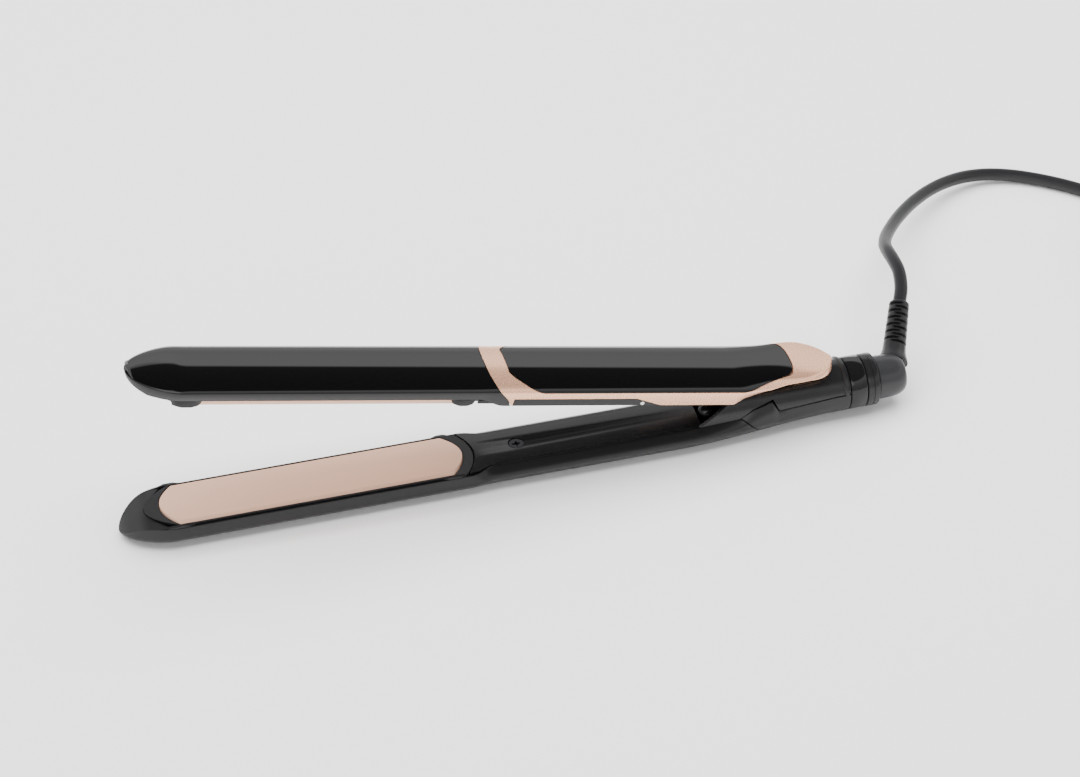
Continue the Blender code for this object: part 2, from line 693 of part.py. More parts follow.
def build_tail():
    k = both_sides(1)[0][0]
    fronts = TAIL_FRONT + DIAGONAL * np.clip(k / 2.0, 0.0, 1.0) + FIT + 0.0001
    joints = HINGE + np.array([-0.0352, -0.0270, -0.0245, -0.0010])
    stations = np.concatenate([[TAIL_FRONT + FIT + 0.0001, TAIL_FRONT + 0.0026], joints[:3],
                               np.linspace(HINGE - 0.020, HINGE - 0.001, 4),
                               [HINGE + 0.003, HOUSING_END]])
    s = slanted(stations, fronts=fronts, reach=0.030)
    add("tail_lower_cover", arm_shell("cover", lower_surface, s), matte_black())

    angle = np.linspace(0.0, 2.0 * math.pi, 56, endpoint=False)[None, :]
    along = np.array([CHEEK_FOOT - 0.002, HINGE - 0.010, HOUSING_END])[:, None]
    grids = []
    for radius in (TAIL_RADIUS, TAIL_RADIUS - WALL):
        grids.append(lower(along + 0.0 * angle, radius * np.sin(angle) + 0.0 * along,
                           -radius * np.cos(angle) + 0.0 * along))
    housing = add("tail_housing", shell_mesh("housing", grids[0], grids[1], around=True), dark_grey())
    fit = FIT + 0.0001
    edge = [(0.0070, 0.0021 + fit), (-0.0010, 0.0019 + fit), (-0.0245 + fit, 0.0003 + fit),
            (-0.0270 + fit, 0.0049 + 2 * fit), (-0.0352 - fit / 2, 0.0028 + fit),
            (-0.0405, -0.0003 + fit), (-0.0575, -0.0012 + fit)]
    top = [(-0.0486, 0.0048), (-0.0412, 0.0083), (-0.0360, 0.0086), (-0.0095, 0.0086),
           (-0.0085, 0.0120), (0.0070, 0.0120)]
    outline = [(HINGE + SHIFT + x, ARM_DEPTH + z) for x, z in edge + top]
    combine(housing, cutter_of("housing_outline", prism_mesh("outline", outline, -0.02, 0.02)),
            "INTERSECT")

    axis = Vector((HINGE + SHIFT, 0.0, ARM_DEPTH))
    reach = TAIL_RADIUS - WALL - 2 * FIT
    across = Vector((0.0, reach, 0.0))
    add("hinge_pin", round_mesh("pin", PIN_RADIUS, PIN_RADIUS, axis - across, axis + across), steel())
    turns = 3.5
    first = KNUCKLE_WIDTH / 2 + 2 * FIT + SPRING_WIRE
    last = reach - 0.0010
    spin = np.linspace(0.0, turns * 2 * math.pi, 43)
    coil = SPRING_RADIUS + PIN_RADIUS + FIT
    helix = np.stack([axis.x + coil * np.sin(spin), -(first + (last - first) * spin / spin[-1]),
                      axis.z - coil * np.cos(spin)], axis=1)
    leg = np.array([[-0.006, 0.0, 0.0]])
    helix = np.vstack([helix[:1] + leg, helix, helix[-1:] + leg])
    tube("opening_spring", helix, SPRING_WIRE, steel(), 1)

    sleeve = HOUSING_END - 0.0005
    outer = SLEEVE_BORE + SLEEVE_WALL
    turned("swivel_collar", [(TAIL_RADIUS - 0.0004, COLLAR_END), (TAIL_RADIUS, COLLAR_END - 0.0004),
                             (TAIL_RADIUS, COLLAR_START + 0.0003),
                             (TAIL_RADIUS - 0.0003, COLLAR_START), (outer, COLLAR_START),
                             (outer, sleeve), (SLEEVE_BORE, sleeve), (SLEEVE_BORE, COLLAR_END)],
           matte_black(), SHIFT, ARM_DEPTH)
    turned("lock_ring", ring_profile(outer + FIT, TAIL_RADIUS, RING_START, RING_END, 0.0005),
           gloss_black(), SHIFT, ARM_DEPTH)
    slab("lock_latch", lower, (HINGE - 0.012, HOUSING_END - 0.0005), (-0.0020, 0.0020),
         (outer + FIT + 0.0001, TAIL_RADIUS - WALL - 0.0006), steel())


def build_swivel():
    front = HINGE + KNUCKLE_RADIUS + 0.0005
    sleeve = HOUSING_END - 0.0005
    turned("swivel_spindle", ring_profile(SPINDLE_BORE, SPINDLE_RADIUS, front, COLLAR_END),
           dark_grey(), SHIFT, ARM_DEPTH)
    bore = SPINDLE_RADIUS + FIT
    for name, start in (("contact_ring_a", COLLAR_START - 0.0050), ("contact_ring_b", COLLAR_START)):
        turned(name, ring_profile(bore, SLEEVE_BORE - FIT, start, start + 0.0020), brass(), SHIFT,
               ARM_DEPTH)
    turned("retaining_clip", ring_profile(bore, SLEEVE_BORE + 0.0008, sleeve - FIT - 0.0006,
                                          sleeve - FIT), steel(), SHIFT, ARM_DEPTH)
    end = ELBOW_START + ELBOW_LENGTH
    elbow = turned("cord_elbow", [(0.0, end), (ELBOW_RADIUS - 0.0034, end),
                                  (ELBOW_RADIUS - 0.0017, end - 0.0007),
                                  (ELBOW_RADIUS - 0.0007, end - 0.0021),
                                  (ELBOW_RADIUS - 0.0003, end - 0.0044),
                                  (ELBOW_RADIUS, ELBOW_START + 0.0004),
                                  (ELBOW_RADIUS - 0.0004, ELBOW_START), (0.0, ELBOW_START)],
                   dark_grey(), SHIFT, ARM_DEPTH)
    start = Vector((RELIEF_AXIS + SHIFT, 0.0, ARM_DEPTH))
    way = relief_direction()
    far = ELBOW_RADIUS + RELIEF_LENGTH
    relief = round_mesh("relief", RELIEF_BASE, RELIEF_END, start + way * 0.003, start + way * far, 24)
    combine(elbow, cutter_of("relief", relief), "UNION")


def relief_direction():
    """Way the cord leaves the elbow: back, across and up."""
    flat = math.cos(RELIEF_RISE)
    return Vector((flat * math.sin(RELIEF_LEAN), flat * math.cos(RELIEF_LEAN), math.sin(RELIEF_RISE)))


# ---------------------------------------------------------------- upper arm

def build_upper_arm(pivot):
    front = np.concatenate([-TIP_LENGTH + NOSE_LENGTH * np.linspace(0.0, 1.0, 11) ** 2,
                            np.linspace(0.020, PLATE_END, 5),
                            [PLATE_END + 0.002, BAND_START - 0.0001]])
    k = both_sides(1)[0][0]
    band = BAND_START + np.interp(k, [0.0, 0.5, 1.0, 1.5, 2.0, 2.3, 2.6, 3.0],
                                  [0.0098, 0.0078, 0.0042, 0.0030, 0.0018, 0.0006, 0.0001, 0.0])
    add("upper_outer_shell", arm_shell("shell", upper_surface,
                                       slanted(front, rears=band - FIT, reach=0.004),
                                       -CARRIER_FRONT - 2 * FIT), gloss_black(), pivot)

    rear = np.concatenate([[BAND_START, BAND_START + 0.004, BAND_START + 0.008],
                           np.linspace(BAND_START + 0.012, HINGE - 0.050, 5),
                           HINGE + np.array([-0.046, -0.0422, -0.036, -0.030, -0.0245, -0.022,
                                             -0.019, -0.016, -0.013, -0.010, -0.0075, -0.0055,
                                             -0.0042, -0.0033, -0.0027, -TRIM_REAR])])
    s = slanted(rear, fronts=band, reach=0.012)
    insert_start = BAND_START + TRIM_BAND
    high = 0.030
    corners = [(insert_start, 0.0126), (insert_start + 0.0018, 0.0120), (insert_start + 0.0040, 0.0113),
               (insert_start + 0.0070, 0.0100), (insert_start + 0.0102, 0.0087),
               (insert_start + 0.0135, 0.0079), (HINGE - 0.043, 0.0079), (HINGE - 0.037, 0.0094),
               (HINGE - 0.029, 0.0120), (HINGE - 0.023, 0.0135), (HINGE - 0.0195, 0.0150)]

    def outline(grow, points):
        """Side view of the insert, grown or shrunk by half of the fit all round."""
        low = [(x - HINGE, t - grow) for x, t in points]
        low[0] = (points[0][0] - HINGE - grow, points[0][1])
        low[-1] = (points[-1][0] - HINGE + grow, points[-1][1])
        return low + [(low[-1][0], high), (low[0][0], high)]

    def strip(grow):
        start, top, foot = BAND_START + 0.0104 - HINGE, -0.0880, -0.0682
        return [(start - grow, -0.002), (foot + grow, -0.002), (top + grow, 0.0049 + grow),
                (start - grow, 0.0049 + grow)]

    half_fit = FIT / 2
    trim = add("upper_trim", arm_shell("trim", upper_surface, s), rose_gold(), pivot)
    cut = prism_mesh("cut", outline(half_fit, corners), -0.03, 0.03)
    combine(trim, cutter_of("insert_space", cut, pivot), "DIFFERENCE")
    cut = prism_mesh("cut", strip(half_fit), -0.03, 0.03)
    combine(trim, cutter_of("strip_space", cut, pivot), "DIFFERENCE")
    insert = add("handle_insert", arm_shell("insert", upper_surface, s), gloss_black(), pivot)
    cut = prism_mesh("cut", outline(-half_fit, corners), -0.03, 0.03)
    combine(insert, cutter_of("insert_outline", cut, pivot), "INTERSECT")
    for name, low, top in (("control_strip", -0.03, -0.004), ("far_side_strip", 0.004, 0.03)):
        made = add(name, arm_shell("strip", upper_surface, s), matte_black(), pivot)
        cut = prism_mesh("cut", strip(-half_fit), low, top)
        combine(made, cutter_of(name + "_outline", cut, pivot), "INTERSECT")
        if name == "control_strip":
            lamp = Vector((-0.0850, 0.0, 0.0025))
            near = Vector((0.0, -UPPER_WIDTH + 0.0007, 0.0))
            far = Vector((0.0, -UPPER_WIDTH + 0.0022, 0.0))
            reach = Vector((0.0, -0.003, 0.0))
            hole = round_mesh("hole", LAMP_RADIUS + FIT, LAMP_RADIUS + FIT, lamp + near + reach,
                              lamp + far - reach, 24)
            combine(made, cutter_of("lamp_hole", hole, pivot), "DIFFERENCE")
            add("status_light", round_mesh("lamp", LAMP_RADIUS, LAMP_RADIUS, lamp + near, lamp + far,
                                           24), pale_light(), pivot)

    build_carrier("upper", upper, PLATE_THICKNESS + 0.0002, pivot)
    build_cushions("upper", upper, UPPER_DEPTH, pivot)
    wide = UPPER_WIDTH - WALL - 0.0009 - FIT
    cover = add("upper_inner_cover",
                cover_mesh("cover", upper, behind_carrier, CHEEK_FOOT - 0.0015, lambda s: wide + 0 * s,
                           0.0012, 0.0012, COVER_THICKNESS - 0.0002), matte_black(), pivot)
    for index in range(3):
        at = PLATE_END + FIRST_BUTTON + index * BUTTON_PITCH
        hole = stack_mesh("hole", [disc(upper, at, 0.0, 0.0, BUTTON_RADIUS + FIT),
                                   disc(upper, at, 0.0, 0.0040, BUTTON_RADIUS + FIT)])
        combine(cover, cutter_of("button_hole_%d" % index, hole, pivot), "DIFFERENCE")
    board = 0.0012 + COVER_THICKNESS + 0.0032
    slab("circuit_board", upper, (PLATE_END + 0.020, PLATE_END + 0.020 + BOARD_LENGTH),
         (-0.0085, 0.0085), (board, board + BOARD_THICKNESS), board_green(), pivot)
    inner = 0.0012 + COVER_THICKNESS
    for index, name in enumerate(("power_button", "plus_button", "minus_button")):
        at = PLATE_END + FIRST_BUTTON + index * BUTTON_PITCH
        post(name, upper, at, 0.0, [(0.0007, BUTTON_RADIUS - 0.0003), (0.0010, BUTTON_RADIUS),
                                    (inner + FIT, BUTTON_RADIUS), (inner + FIT, BUTTON_RADIUS + 0.001),
                                    (inner + 0.0011, BUTTON_RADIUS + 0.001), (inner + 0.0011, 0.0015),
                                    (board - BUTTON_TRAVEL - FIT, 0.0015)], dark_grey(), pivot)
    build_knuckle(pivot)


def build_knuckle(pivot):
    """Lug of the upper arm that turns on the pin."""
    around = np.radians(np.linspace(-110.0, 110.0, 23))
    outline = [(KNUCKLE_RADIUS * math.cos(a), KNUCKLE_RADIUS * math.sin(a)) for a in around]
    outline += [(-0.0095, 0.0047), (-0.0200, 0.0078), (-0.0340, 0.0094), (-0.0340, 0.0060),
                (-0.0200, 0.0035), (-0.0095, -0.0004)]
    half = KNUCKLE_WIDTH / 2
    knuckle = add("upper_hinge_knuckle", prism_mesh("knuckle", outline, -half, half), dark_grey(),
                  pivot)
    bore = round_mesh("bore", PIN_RADIUS + FIT, PIN_RADIUS + FIT, (0, -0.01, 0), (0, 0.01, 0))
    combine(knuckle, cutter_of("knuckle_bore", bore, pivot), "DIFFERENCE")


# ---------------------------------------------------------------- cord

def build_cord():
    radius = CORD_DIAMETER / 2
    start = Vector((RELIEF_AXIS + SHIFT, 0.0, ARM_DEPTH))
    way = relief_direction()
    leave = start + way * (ELBOW_RADIUS + RELIEF_LENGTH + FIT)
    floor = radius
    route = [leave, leave + way * 0.007]
    for s, v, z in CORD_ROUTE:
        route.append(Vector((s + SHIFT, v, max(z, floor))))
    points = smooth_curve(route, 0.0085)
    points[:, 2] = np.maximum(points[:, 2], floor)
    tube("cord_tube", points, radius, cord_rubber(), 2)

    bundle = CORD_LAYERS * CORD_DIAMETER
    inner = COIL_MID_DIAMETER / 2 - bundle / 2
    outer = COIL_MID_DIAMETER / 2 + bundle / 2
    foot = TIE_THICKNESS + FIT
    corner = radius
    ring = [(outer - corner, foot + bundle), (outer, foot + bundle - corner), (outer, foot + corner),
            (outer - corner, foot), (inner + corner, foot), (inner, foot + corner),
            (inner, foot + bundle - corner), (inner + corner, foot + bundle)]
    mesh = bpy.data.meshes.new("coil")
    edges = [(i, (i + 1) % len(ring)) for i in range(len(ring))]
    mesh.from_pydata([(r, 0.0, z) for r, z in ring], edges, [])
    coil = add("cord_coil", mesh, cord_rubber())
    screw = coil.modifiers.new("Screw", "SCREW")
    screw.steps = 64
    screw.render_steps = 64
    screw.use_merge_vertices = True
    screw.merge_threshold = 0.00001
    screw.use_smooth_shade = True
    coil.location = (COIL_S + SHIFT, COIL_V, 0.0)

    gap = FIT
    middle = COIL_MID_DIAMETER / 2
    hole = bundle / 2 + gap
    band = hole + TIE_THICKNESS
    height = foot + bundle / 2
    rings = []
    for v in (-TIE_WIDTH / 2, TIE_WIDTH / 2):
        for size in (band, hole):
            corners = [(-size, -size), (size, -size), (size, size), (-size, size)]
            rings.append([(COIL_S + SHIFT - middle + x, COIL_V + v, height + z) for x, z in corners])
    grid_out = np.array([rings[0], rings[2]])
    grid_in = np.array([rings[1], rings[3]])
    grid_in = widen_tie(grid_in, outer)
    grid_out = widen_tie(grid_out, outer)
    add("coil_tie", shell_mesh("tie", grid_out, grid_in, around=True), matte_black())

    back = COIL_V - PLUG_STAND
    nose_end = COIL_V - PLUG_NOSE_GAP
    x = COIL_S + SHIFT + outer - radius
    high = PLUG_THICKNESS / 2
    plug = box_mesh("plug", (x - PLUG_WIDTH / 2, back - PLUG_LENGTH, 0.0),
                    (x + PLUG_WIDTH / 2, back, PLUG_THICKNESS))
    body = add("plug_body", plug, matte_black())
    bevel(body, 0.0045, 3)
    neck = round_mesh("neck", 0.0048, 0.0031, (x, back - 0.006, high), (x, nose_end, high), 24)
    combine(body, cutter_of("plug_neck", neck), "UNION")
    for name, side in (("plug_pin_a", -1), ("plug_pin_b", 1)):
        at = x + side * PIN_SPACING / 2
        face = back - PLUG_LENGTH - FIT
        add(name, round_mesh("pin", PLUG_PIN_RADIUS, PLUG_PIN_RADIUS, (at, face, high),
                             (at, face - PLUG_PIN_LENGTH, high), 20), brass())


def widen_tie(grid, outer):
    """Let the tie's outer side stand clear of the coil's curve over the tie's width."""
    made = grid.copy()
    bow = outer - math.sqrt(outer ** 2 - (TIE_WIDTH / 2) ** 2)
    inside = grid[..., 0] > COIL_S + SHIFT - COIL_MID_DIAMETER / 2
    made[..., 0] += np.where(inside, bow * 1.9, 0.0)
    return made


def build():
    for old in list(bpy.data.objects):
        bpy.data.objects.remove(old)
    scene = bpy.context.scene
    scene.collection.children.link(PART)
    scene.collection.children.link(CUTTERS)
    pivot = bpy.data.objects.new("arm_pivot", None)
    PART.objects.link(pivot)
    pivot.location = (HINGE + SHIFT, 0.0, ARM_DEPTH)
    pivot.rotation_euler = (0.0, OPEN_ANGLE, 0.0)
    build_lower_arm()
    build_tail()
    build_swivel()
    build_plate("upper", upper, pivot)
    build_upper_arm(pivot)
    build_cord()


build()
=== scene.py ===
import math

import bmesh
import bpy
import numpy as np
from mathutils import Matrix


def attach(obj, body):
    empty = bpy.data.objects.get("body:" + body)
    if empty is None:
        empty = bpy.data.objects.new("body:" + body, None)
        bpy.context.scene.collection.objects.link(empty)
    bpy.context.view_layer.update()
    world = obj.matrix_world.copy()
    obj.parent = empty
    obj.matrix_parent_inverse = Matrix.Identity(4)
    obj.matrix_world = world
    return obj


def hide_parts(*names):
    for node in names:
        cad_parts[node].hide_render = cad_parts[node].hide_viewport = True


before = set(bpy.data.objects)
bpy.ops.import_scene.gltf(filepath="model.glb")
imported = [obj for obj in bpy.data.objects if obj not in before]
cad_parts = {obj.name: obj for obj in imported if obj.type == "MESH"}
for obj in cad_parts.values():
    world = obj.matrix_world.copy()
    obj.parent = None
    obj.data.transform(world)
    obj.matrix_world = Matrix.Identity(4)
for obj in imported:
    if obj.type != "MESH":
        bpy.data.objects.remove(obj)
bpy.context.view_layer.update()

# ---- Camera, floor and studio light --------------------------------------------------------
# A long lens looks down on the iron from the front left of its tail. It lies on a pale table
# under a wide overhead softbox; a bright band round the room gives the gloss its reflections.

scene = bpy.context.scene
camera_data = bpy.data.cameras.new("camera")
camera_data.lens = 110.55
camera_data.sensor_width = 36.0
camera_data.clip_start = 0.05
camera_data.clip_end = 20.0
camera = bpy.data.objects.new("camera", camera_data)
scene.collection.objects.link(camera)
camera.matrix_world = Matrix(((0.9625, 0.1688, -0.2122, -0.25915),
                              (-0.2711, 0.5992, -0.7533, -0.97200),
                              (0.0, 0.7826, 0.6225, 0.83930),
                              (0.0, 0.0, 0.0, 1.0)))
scene.camera = camera

world = bpy.data.worlds.new("studio")
scene.world = world
world.use_nodes = True
sky = world.node_tree
facing = sky.nodes.new("ShaderNodeTexCoord")
height = sky.nodes.new("ShaderNodeSeparateXYZ")
shade = sky.nodes.new("ShaderNodeValToRGB")
for place, value in ((0.30, 0.55), (0.60, 1.0), (0.645, 0.05)):
    stop = shade.color_ramp.elements.new(place)
    stop.color = (value, value, value, 1.0)
shade.color_ramp.elements[0].color = (0.45, 0.45, 0.45, 1.0)
shade.color_ramp.elements[-1].color = (0.03, 0.03, 0.03, 1.0)
sky.links.new(facing.outputs["Generated"], height.inputs["Vector"])
sky.links.new(height.outputs["Z"], shade.inputs["Fac"])
sky.links.new(shade.outputs["Color"], sky.nodes["Background"].inputs["Color"])
sky.nodes["Background"].inputs["Strength"].default_value = 1.9


def softbox(name, place, aim, size, power):
    """Rectangular area light at place, facing aim; size is (width, height) in metres."""
    data = bpy.data.lights.new(name, "AREA")
    data.shape = "RECTANGLE"
    data.size, data.size_y = size
    data.energy = power
    lamp = bpy.data.objects.new(name, data)
    scene.collection.objects.link(lamp)
    back = np.array(place, dtype=float) - np.array(aim, dtype=float)
    back = back / np.linalg.norm(back)
    side = np.cross((0.0, 1.0, 0.0) if abs(back[1]) < 0.9 else (1.0, 0.0, 0.0), back)
    side = side / np.linalg.norm(side)
    high = np.cross(back, side)
    turn = np.eye(4)
    turn[:3, 0], turn[:3, 1], turn[:3, 2], turn[:3, 3] = side, high, back, place
    lamp.matrix_world = Matrix(turn.tolist())
    return lamp


overhead = softbox("overhead_softbox", (0.0, 0.25, 1.30), (0.0, 0.0, 0.0), (2.2, 1.6), 66.0)
overhead.visible_glossy = False
softbox("front_fill", (-0.5, -1.5, 0.9), (0.0, 0.0, 0.0), (1.2, 0.8), 5.0)

FLOOR_HALF = 6.0
FLOOR_LEVEL = -0.0002        # just under the lowest point of the iron
floor_mesh = bpy.data.meshes.new("table_top")
floor_mesh.from_pydata([(x * FLOOR_HALF, y * FLOOR_HALF, FLOOR_LEVEL)
                        for x, y in ((-1, -1), (1, -1), (1, 1), (-1, 1))], [], [(0, 1, 2, 3)])
table_top = bpy.data.objects.new("table_top", floor_mesh)
scene.collection.objects.link(table_top)
paint = bpy.data.materials.new("pale_table")
paint.use_nodes = True
paint_shader = paint.node_tree.nodes["Principled BSDF"]
paint_shader.inputs["Base Color"].default_value = (0.94, 0.94, 0.94, 1.0)
paint_shader.inputs["Roughness"].default_value = 0.75
floor_mesh.materials.append(paint)


# ---- Mains cord ----------------------------------------------------------------------------
# A round black rubber cord, 5.5 mm thick and 1.8 m long. It rises out of the strain relief,
# comes down to the table in a loose curve, and its spare length is wound into a neat coil.

SHIFT = -0.13725             # station 0, the front end of the plates, in the row frame
AXIS_Z = 0.0115              # height of the plane in which the closed plates meet
CORD = 0.0055
COIL_RADIUS = 0.0305         # of the middle of the bundle of turns
COIL_HEIGHT = 0.00975
COIL_START = 1.309           # angle at which the cord joins the coil, in radians
COIL_TURNS = 8.2083
PLUG_HEIGHT = 0.00685        # of the plug's middle over the table
RELIEF_REACH = 0.0332        # from the elbow's middle to the end of the strain relief
coil_at = np.array([0.4570 + SHIFT, 0.0570])
relief_way = np.array([math.cos(math.radians(25)) * math.sin(math.radians(25)),
                       math.cos(math.radians(25)) ** 2, math.sin(math.radians(25))])
elbow_at = np.array([0.2990 + SHIFT, 0.0, AXIS_Z])
cord_exit = elbow_at + relief_way * RELIEF_REACH
free_way = np.array([
    (0.3161, 0.0405, 0.0308), (0.3165, 0.0480, 0.0312), (0.3171, 0.0553, 0.0300),
    (0.3186, 0.0625, 0.0276), (0.3213, 0.0699, 0.0247), (0.3253, 0.0778, 0.0217),
    (0.3306, 0.0863, 0.0188), (0.3369, 0.0951, 0.0161), (0.3441, 0.1038, 0.0136),
    (0.3523, 0.1122, 0.0113), (0.3615, 0.1199, 0.0092), (0.3716, 0.1262, 0.0072),
    (0.3825, 0.1303, 0.0054), (0.3937, 0.1311, 0.0040), (0.4044, 0.1285, 0.0031),
    (0.4144, 0.1231, 0.00275), (0.4237, 0.1160, 0.00275), (0.4321, 0.1082, 0.00275),
    (0.4400, 0.1012, 0.0031), (0.4480, 0.0964, 0.0036),
    (0.4568, 0.0938, 0.0040)]) + (SHIFT, 0.0, 0.0)


def through(points, steps):
    """Smooth line through points: on each span the cubic 0.5 (2b + (c-a) u + (2a-5b+4c-d) u^2
    + (3b-a-3c+d) u^3) of its four nearest points a, b, c, d."""
    p = np.vstack([2 * points[:1] - points[1:2], points, 2 * points[-1:] - points[-2:-1]])
    a, b, c, d = p[:-3, None], p[1:-2, None], p[2:-1, None], p[3:, None]
    u = np.linspace(0.0, 1.0, steps, endpoint=False)[None, :, None]
    line = 0.5 * (2 * b + (c - a) * u + (2 * a - 5 * b + 4 * c - d) * u ** 2
                  + (3 * b - a - 3 * c + d) * u ** 3)
    return np.vstack([line.reshape(-1, 3), points[-1:]])


def coil_line(turns, per_turn):
    """Turns laid three by three: the angle falls evenly while radius and height step to the next
    place in the bundle over the last third of every turn."""
    across = np.array([1, 0, -1, -1, -1, 0, 0, 1, 1, 1]) * CORD
    up = np.array([-1, -1, -1, 0, 1, 1, 0, 0, 0, 0]) * CORD
    turn = np.linspace(0.0, turns, int(turns * per_turn))
    whole = np.minimum(np.floor(turn).astype(int), 7)
    k = np.clip((turn - whole - 0.66) / 0.34, 0.0, 1.0)
    k = np.where(whole < 7, k * k * (3 - 2 * k), 0.0)
    radius = COIL_RADIUS + across[whole] * (1 - k) + across[whole + 1] * k
    height = COIL_HEIGHT + up[whole] * (1 - k) + up[whole + 1] * k
    angle = COIL_START - 2 * math.pi * turn
    return np.stack([coil_at[0] + radius * np.cos(angle), coil_at[1] + radius * np.sin(angle),
                     height], axis=1)


turns_line = coil_line(COIL_TURNS, 60)
plug_end = np.array([coil_at[0] + 0.0360, coil_at[1] - 0.0222, PLUG_HEIGHT])
lead = through(np.vstack([cord_exit, cord_exit + relief_way * 0.007, free_way, turns_line[:1]]), 7)
last = through(np.vstack([turns_line[-1:], [(plug_end + turns_line[-1]) / 2], [plug_end]]), 6)
cord_line = np.vstack([lead[:-1], turns_line[:-1], last])


def cord_curve(name, line, radius):
    """Round tube along a line of points, with flat closed ends."""
    curve = bpy.data.curves.new(name, "CURVE")
    curve.dimensions = "3D"
    curve.bevel_depth = radius
    curve.bevel_resolution = 5
    curve.use_fill_caps = True
    spline = curve.splines.new("POLY")
    spline.points.add(len(line) - 1)
    spline.points.foreach_set("co", np.hstack([line, np.ones((len(line), 1))]).ravel())
    spline.use_smooth = True
    made = bpy.data.objects.new(name, curve)
    scene.collection.objects.link(made)
    return made


def moulded(name, colour, roughness, grain=900.0, depth=0.00002, uneven=0.06, glint=0.32):
    """Plastic or rubber: fine noise lifts the surface by depth and a slower one varies its gloss."""
    made = bpy.data.materials.new(name)
    made.use_nodes = True
    tree = made.node_tree
    shader = tree.nodes["Principled BSDF"]
    shader.inputs["Base Color"].default_value = (*colour, 1.0)
    shader.inputs["Specular IOR Level"].default_value = glint
    place = tree.nodes.new("ShaderNodeTexCoord")
    fine = tree.nodes.new("ShaderNodeTexNoise")
    fine.inputs["Scale"].default_value = grain
    fine.inputs["Detail"].default_value = 3.0
    slow = tree.nodes.new("ShaderNodeTexNoise")
    slow.inputs["Scale"].default_value = 45.0
    gloss = tree.nodes.new("ShaderNodeMapRange")
    gloss.inputs["To Min"].default_value = max(roughness - uneven, 0.02)
    gloss.inputs["To Max"].default_value = roughness + uneven
    bump = tree.nodes.new("ShaderNodeBump")
    bump.inputs["Distance"].default_value = depth
    bump.inputs["Strength"].default_value = 1.0
    tree.links.new(place.outputs["Object"], fine.inputs["Vector"])
    tree.links.new(place.outputs["Object"], slow.inputs["Vector"])
    tree.links.new(slow.outputs["Fac"], gloss.inputs["Value"])
    tree.links.new(gloss.outputs["Result"], shader.inputs["Roughness"])
    tree.links.new(fine.outputs["Fac"], bump.inputs["Height"])
    tree.links.new(bump.outputs["Normal"], shader.inputs["Normal"])
    return made


cord_rubber = moulded("cord_rubber", (0.012, 0.012, 0.013), 0.42, grain=1400.0, depth=0.00003)
cord = cord_curve("mains_cord", cord_line, CORD / 2)
cord.data.materials.append(cord_rubber)
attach(cord, "lower_arm")
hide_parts("cord_tube", "cord_coil")


# ---- Plug, its pins and the coil's tie -----------------------------------------------------
# A two-pin moulded plug of black PVC with bright pins, and a hook-and-loop strap round the
# coil. The plug's body bulges at the neck and has finger ribs on its flanks.

def sheet_mesh(name, points, around=False, caps=False):
    """Mesh over a grid of points (rows, columns, 3), a quad between each four neighbours; around
    joins the last column to the first, and caps close the first and last rows."""
    rows, columns = points.shape[:2]
    index = np.arange(rows * columns).reshape(rows, columns)
    ring = np.hstack([index, index[:, :1]]) if around else index
    quads = np.stack([ring[:-1, :-1], ring[1:, :-1], ring[1:, 1:], ring[:-1, 1:]], axis=-1)
    faces = quads.reshape(-1, 4).tolist()
    if caps:
        faces += [index[0].tolist(), index[-1][::-1].tolist()]
    mesh = bpy.data.meshes.new(name)
    mesh.from_pydata(points.reshape(-1, 3).tolist(), [], faces)
    return settled(mesh)


def settled(mesh, angle=32.0):
    """Doubles merged, faces outwards, smooth shading kept sharp at edges over the angle."""
    bm = bmesh.new()
    bm.from_mesh(mesh)
    bmesh.ops.remove_doubles(bm, verts=bm.verts, dist=2e-6)
    bmesh.ops.dissolve_degenerate(bm, edges=bm.edges, dist=1e-6)
    bmesh.ops.recalc_face_normals(bm, faces=bm.faces)
    bm.to_mesh(mesh)
    bm.free()
    mesh.shade_smooth()
    mesh.set_sharp_from_angle(angle=math.radians(angle))
    return mesh


def piece(name, mesh, body, material, nodes=()):
    """Shown piece that rides on a body, takes a finish and stands for CAD nodes."""
    made = bpy.data.objects.new(name, mesh)
    scene.collection.objects.link(made)
    mesh.materials.clear()
    mesh.materials.append(material)
    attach(made, body)
    if nodes:
        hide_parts(*nodes)
    return made


def eased(x, a, b):
    """0 before a, 1 after b, 3k^2 - 2k^3 between."""
    k = np.clip((x - a) / (b - a), 0.0, 1.0)
    return k * k * (3 - 2 * k)


PLUG_LENGTH = 0.0478
PLUG_NECK = 0.0031           # radius of the neck that grips the cord
PLUG_WIDE = 0.0174           # half width and half height of the body
PLUG_HIGH = 0.0068


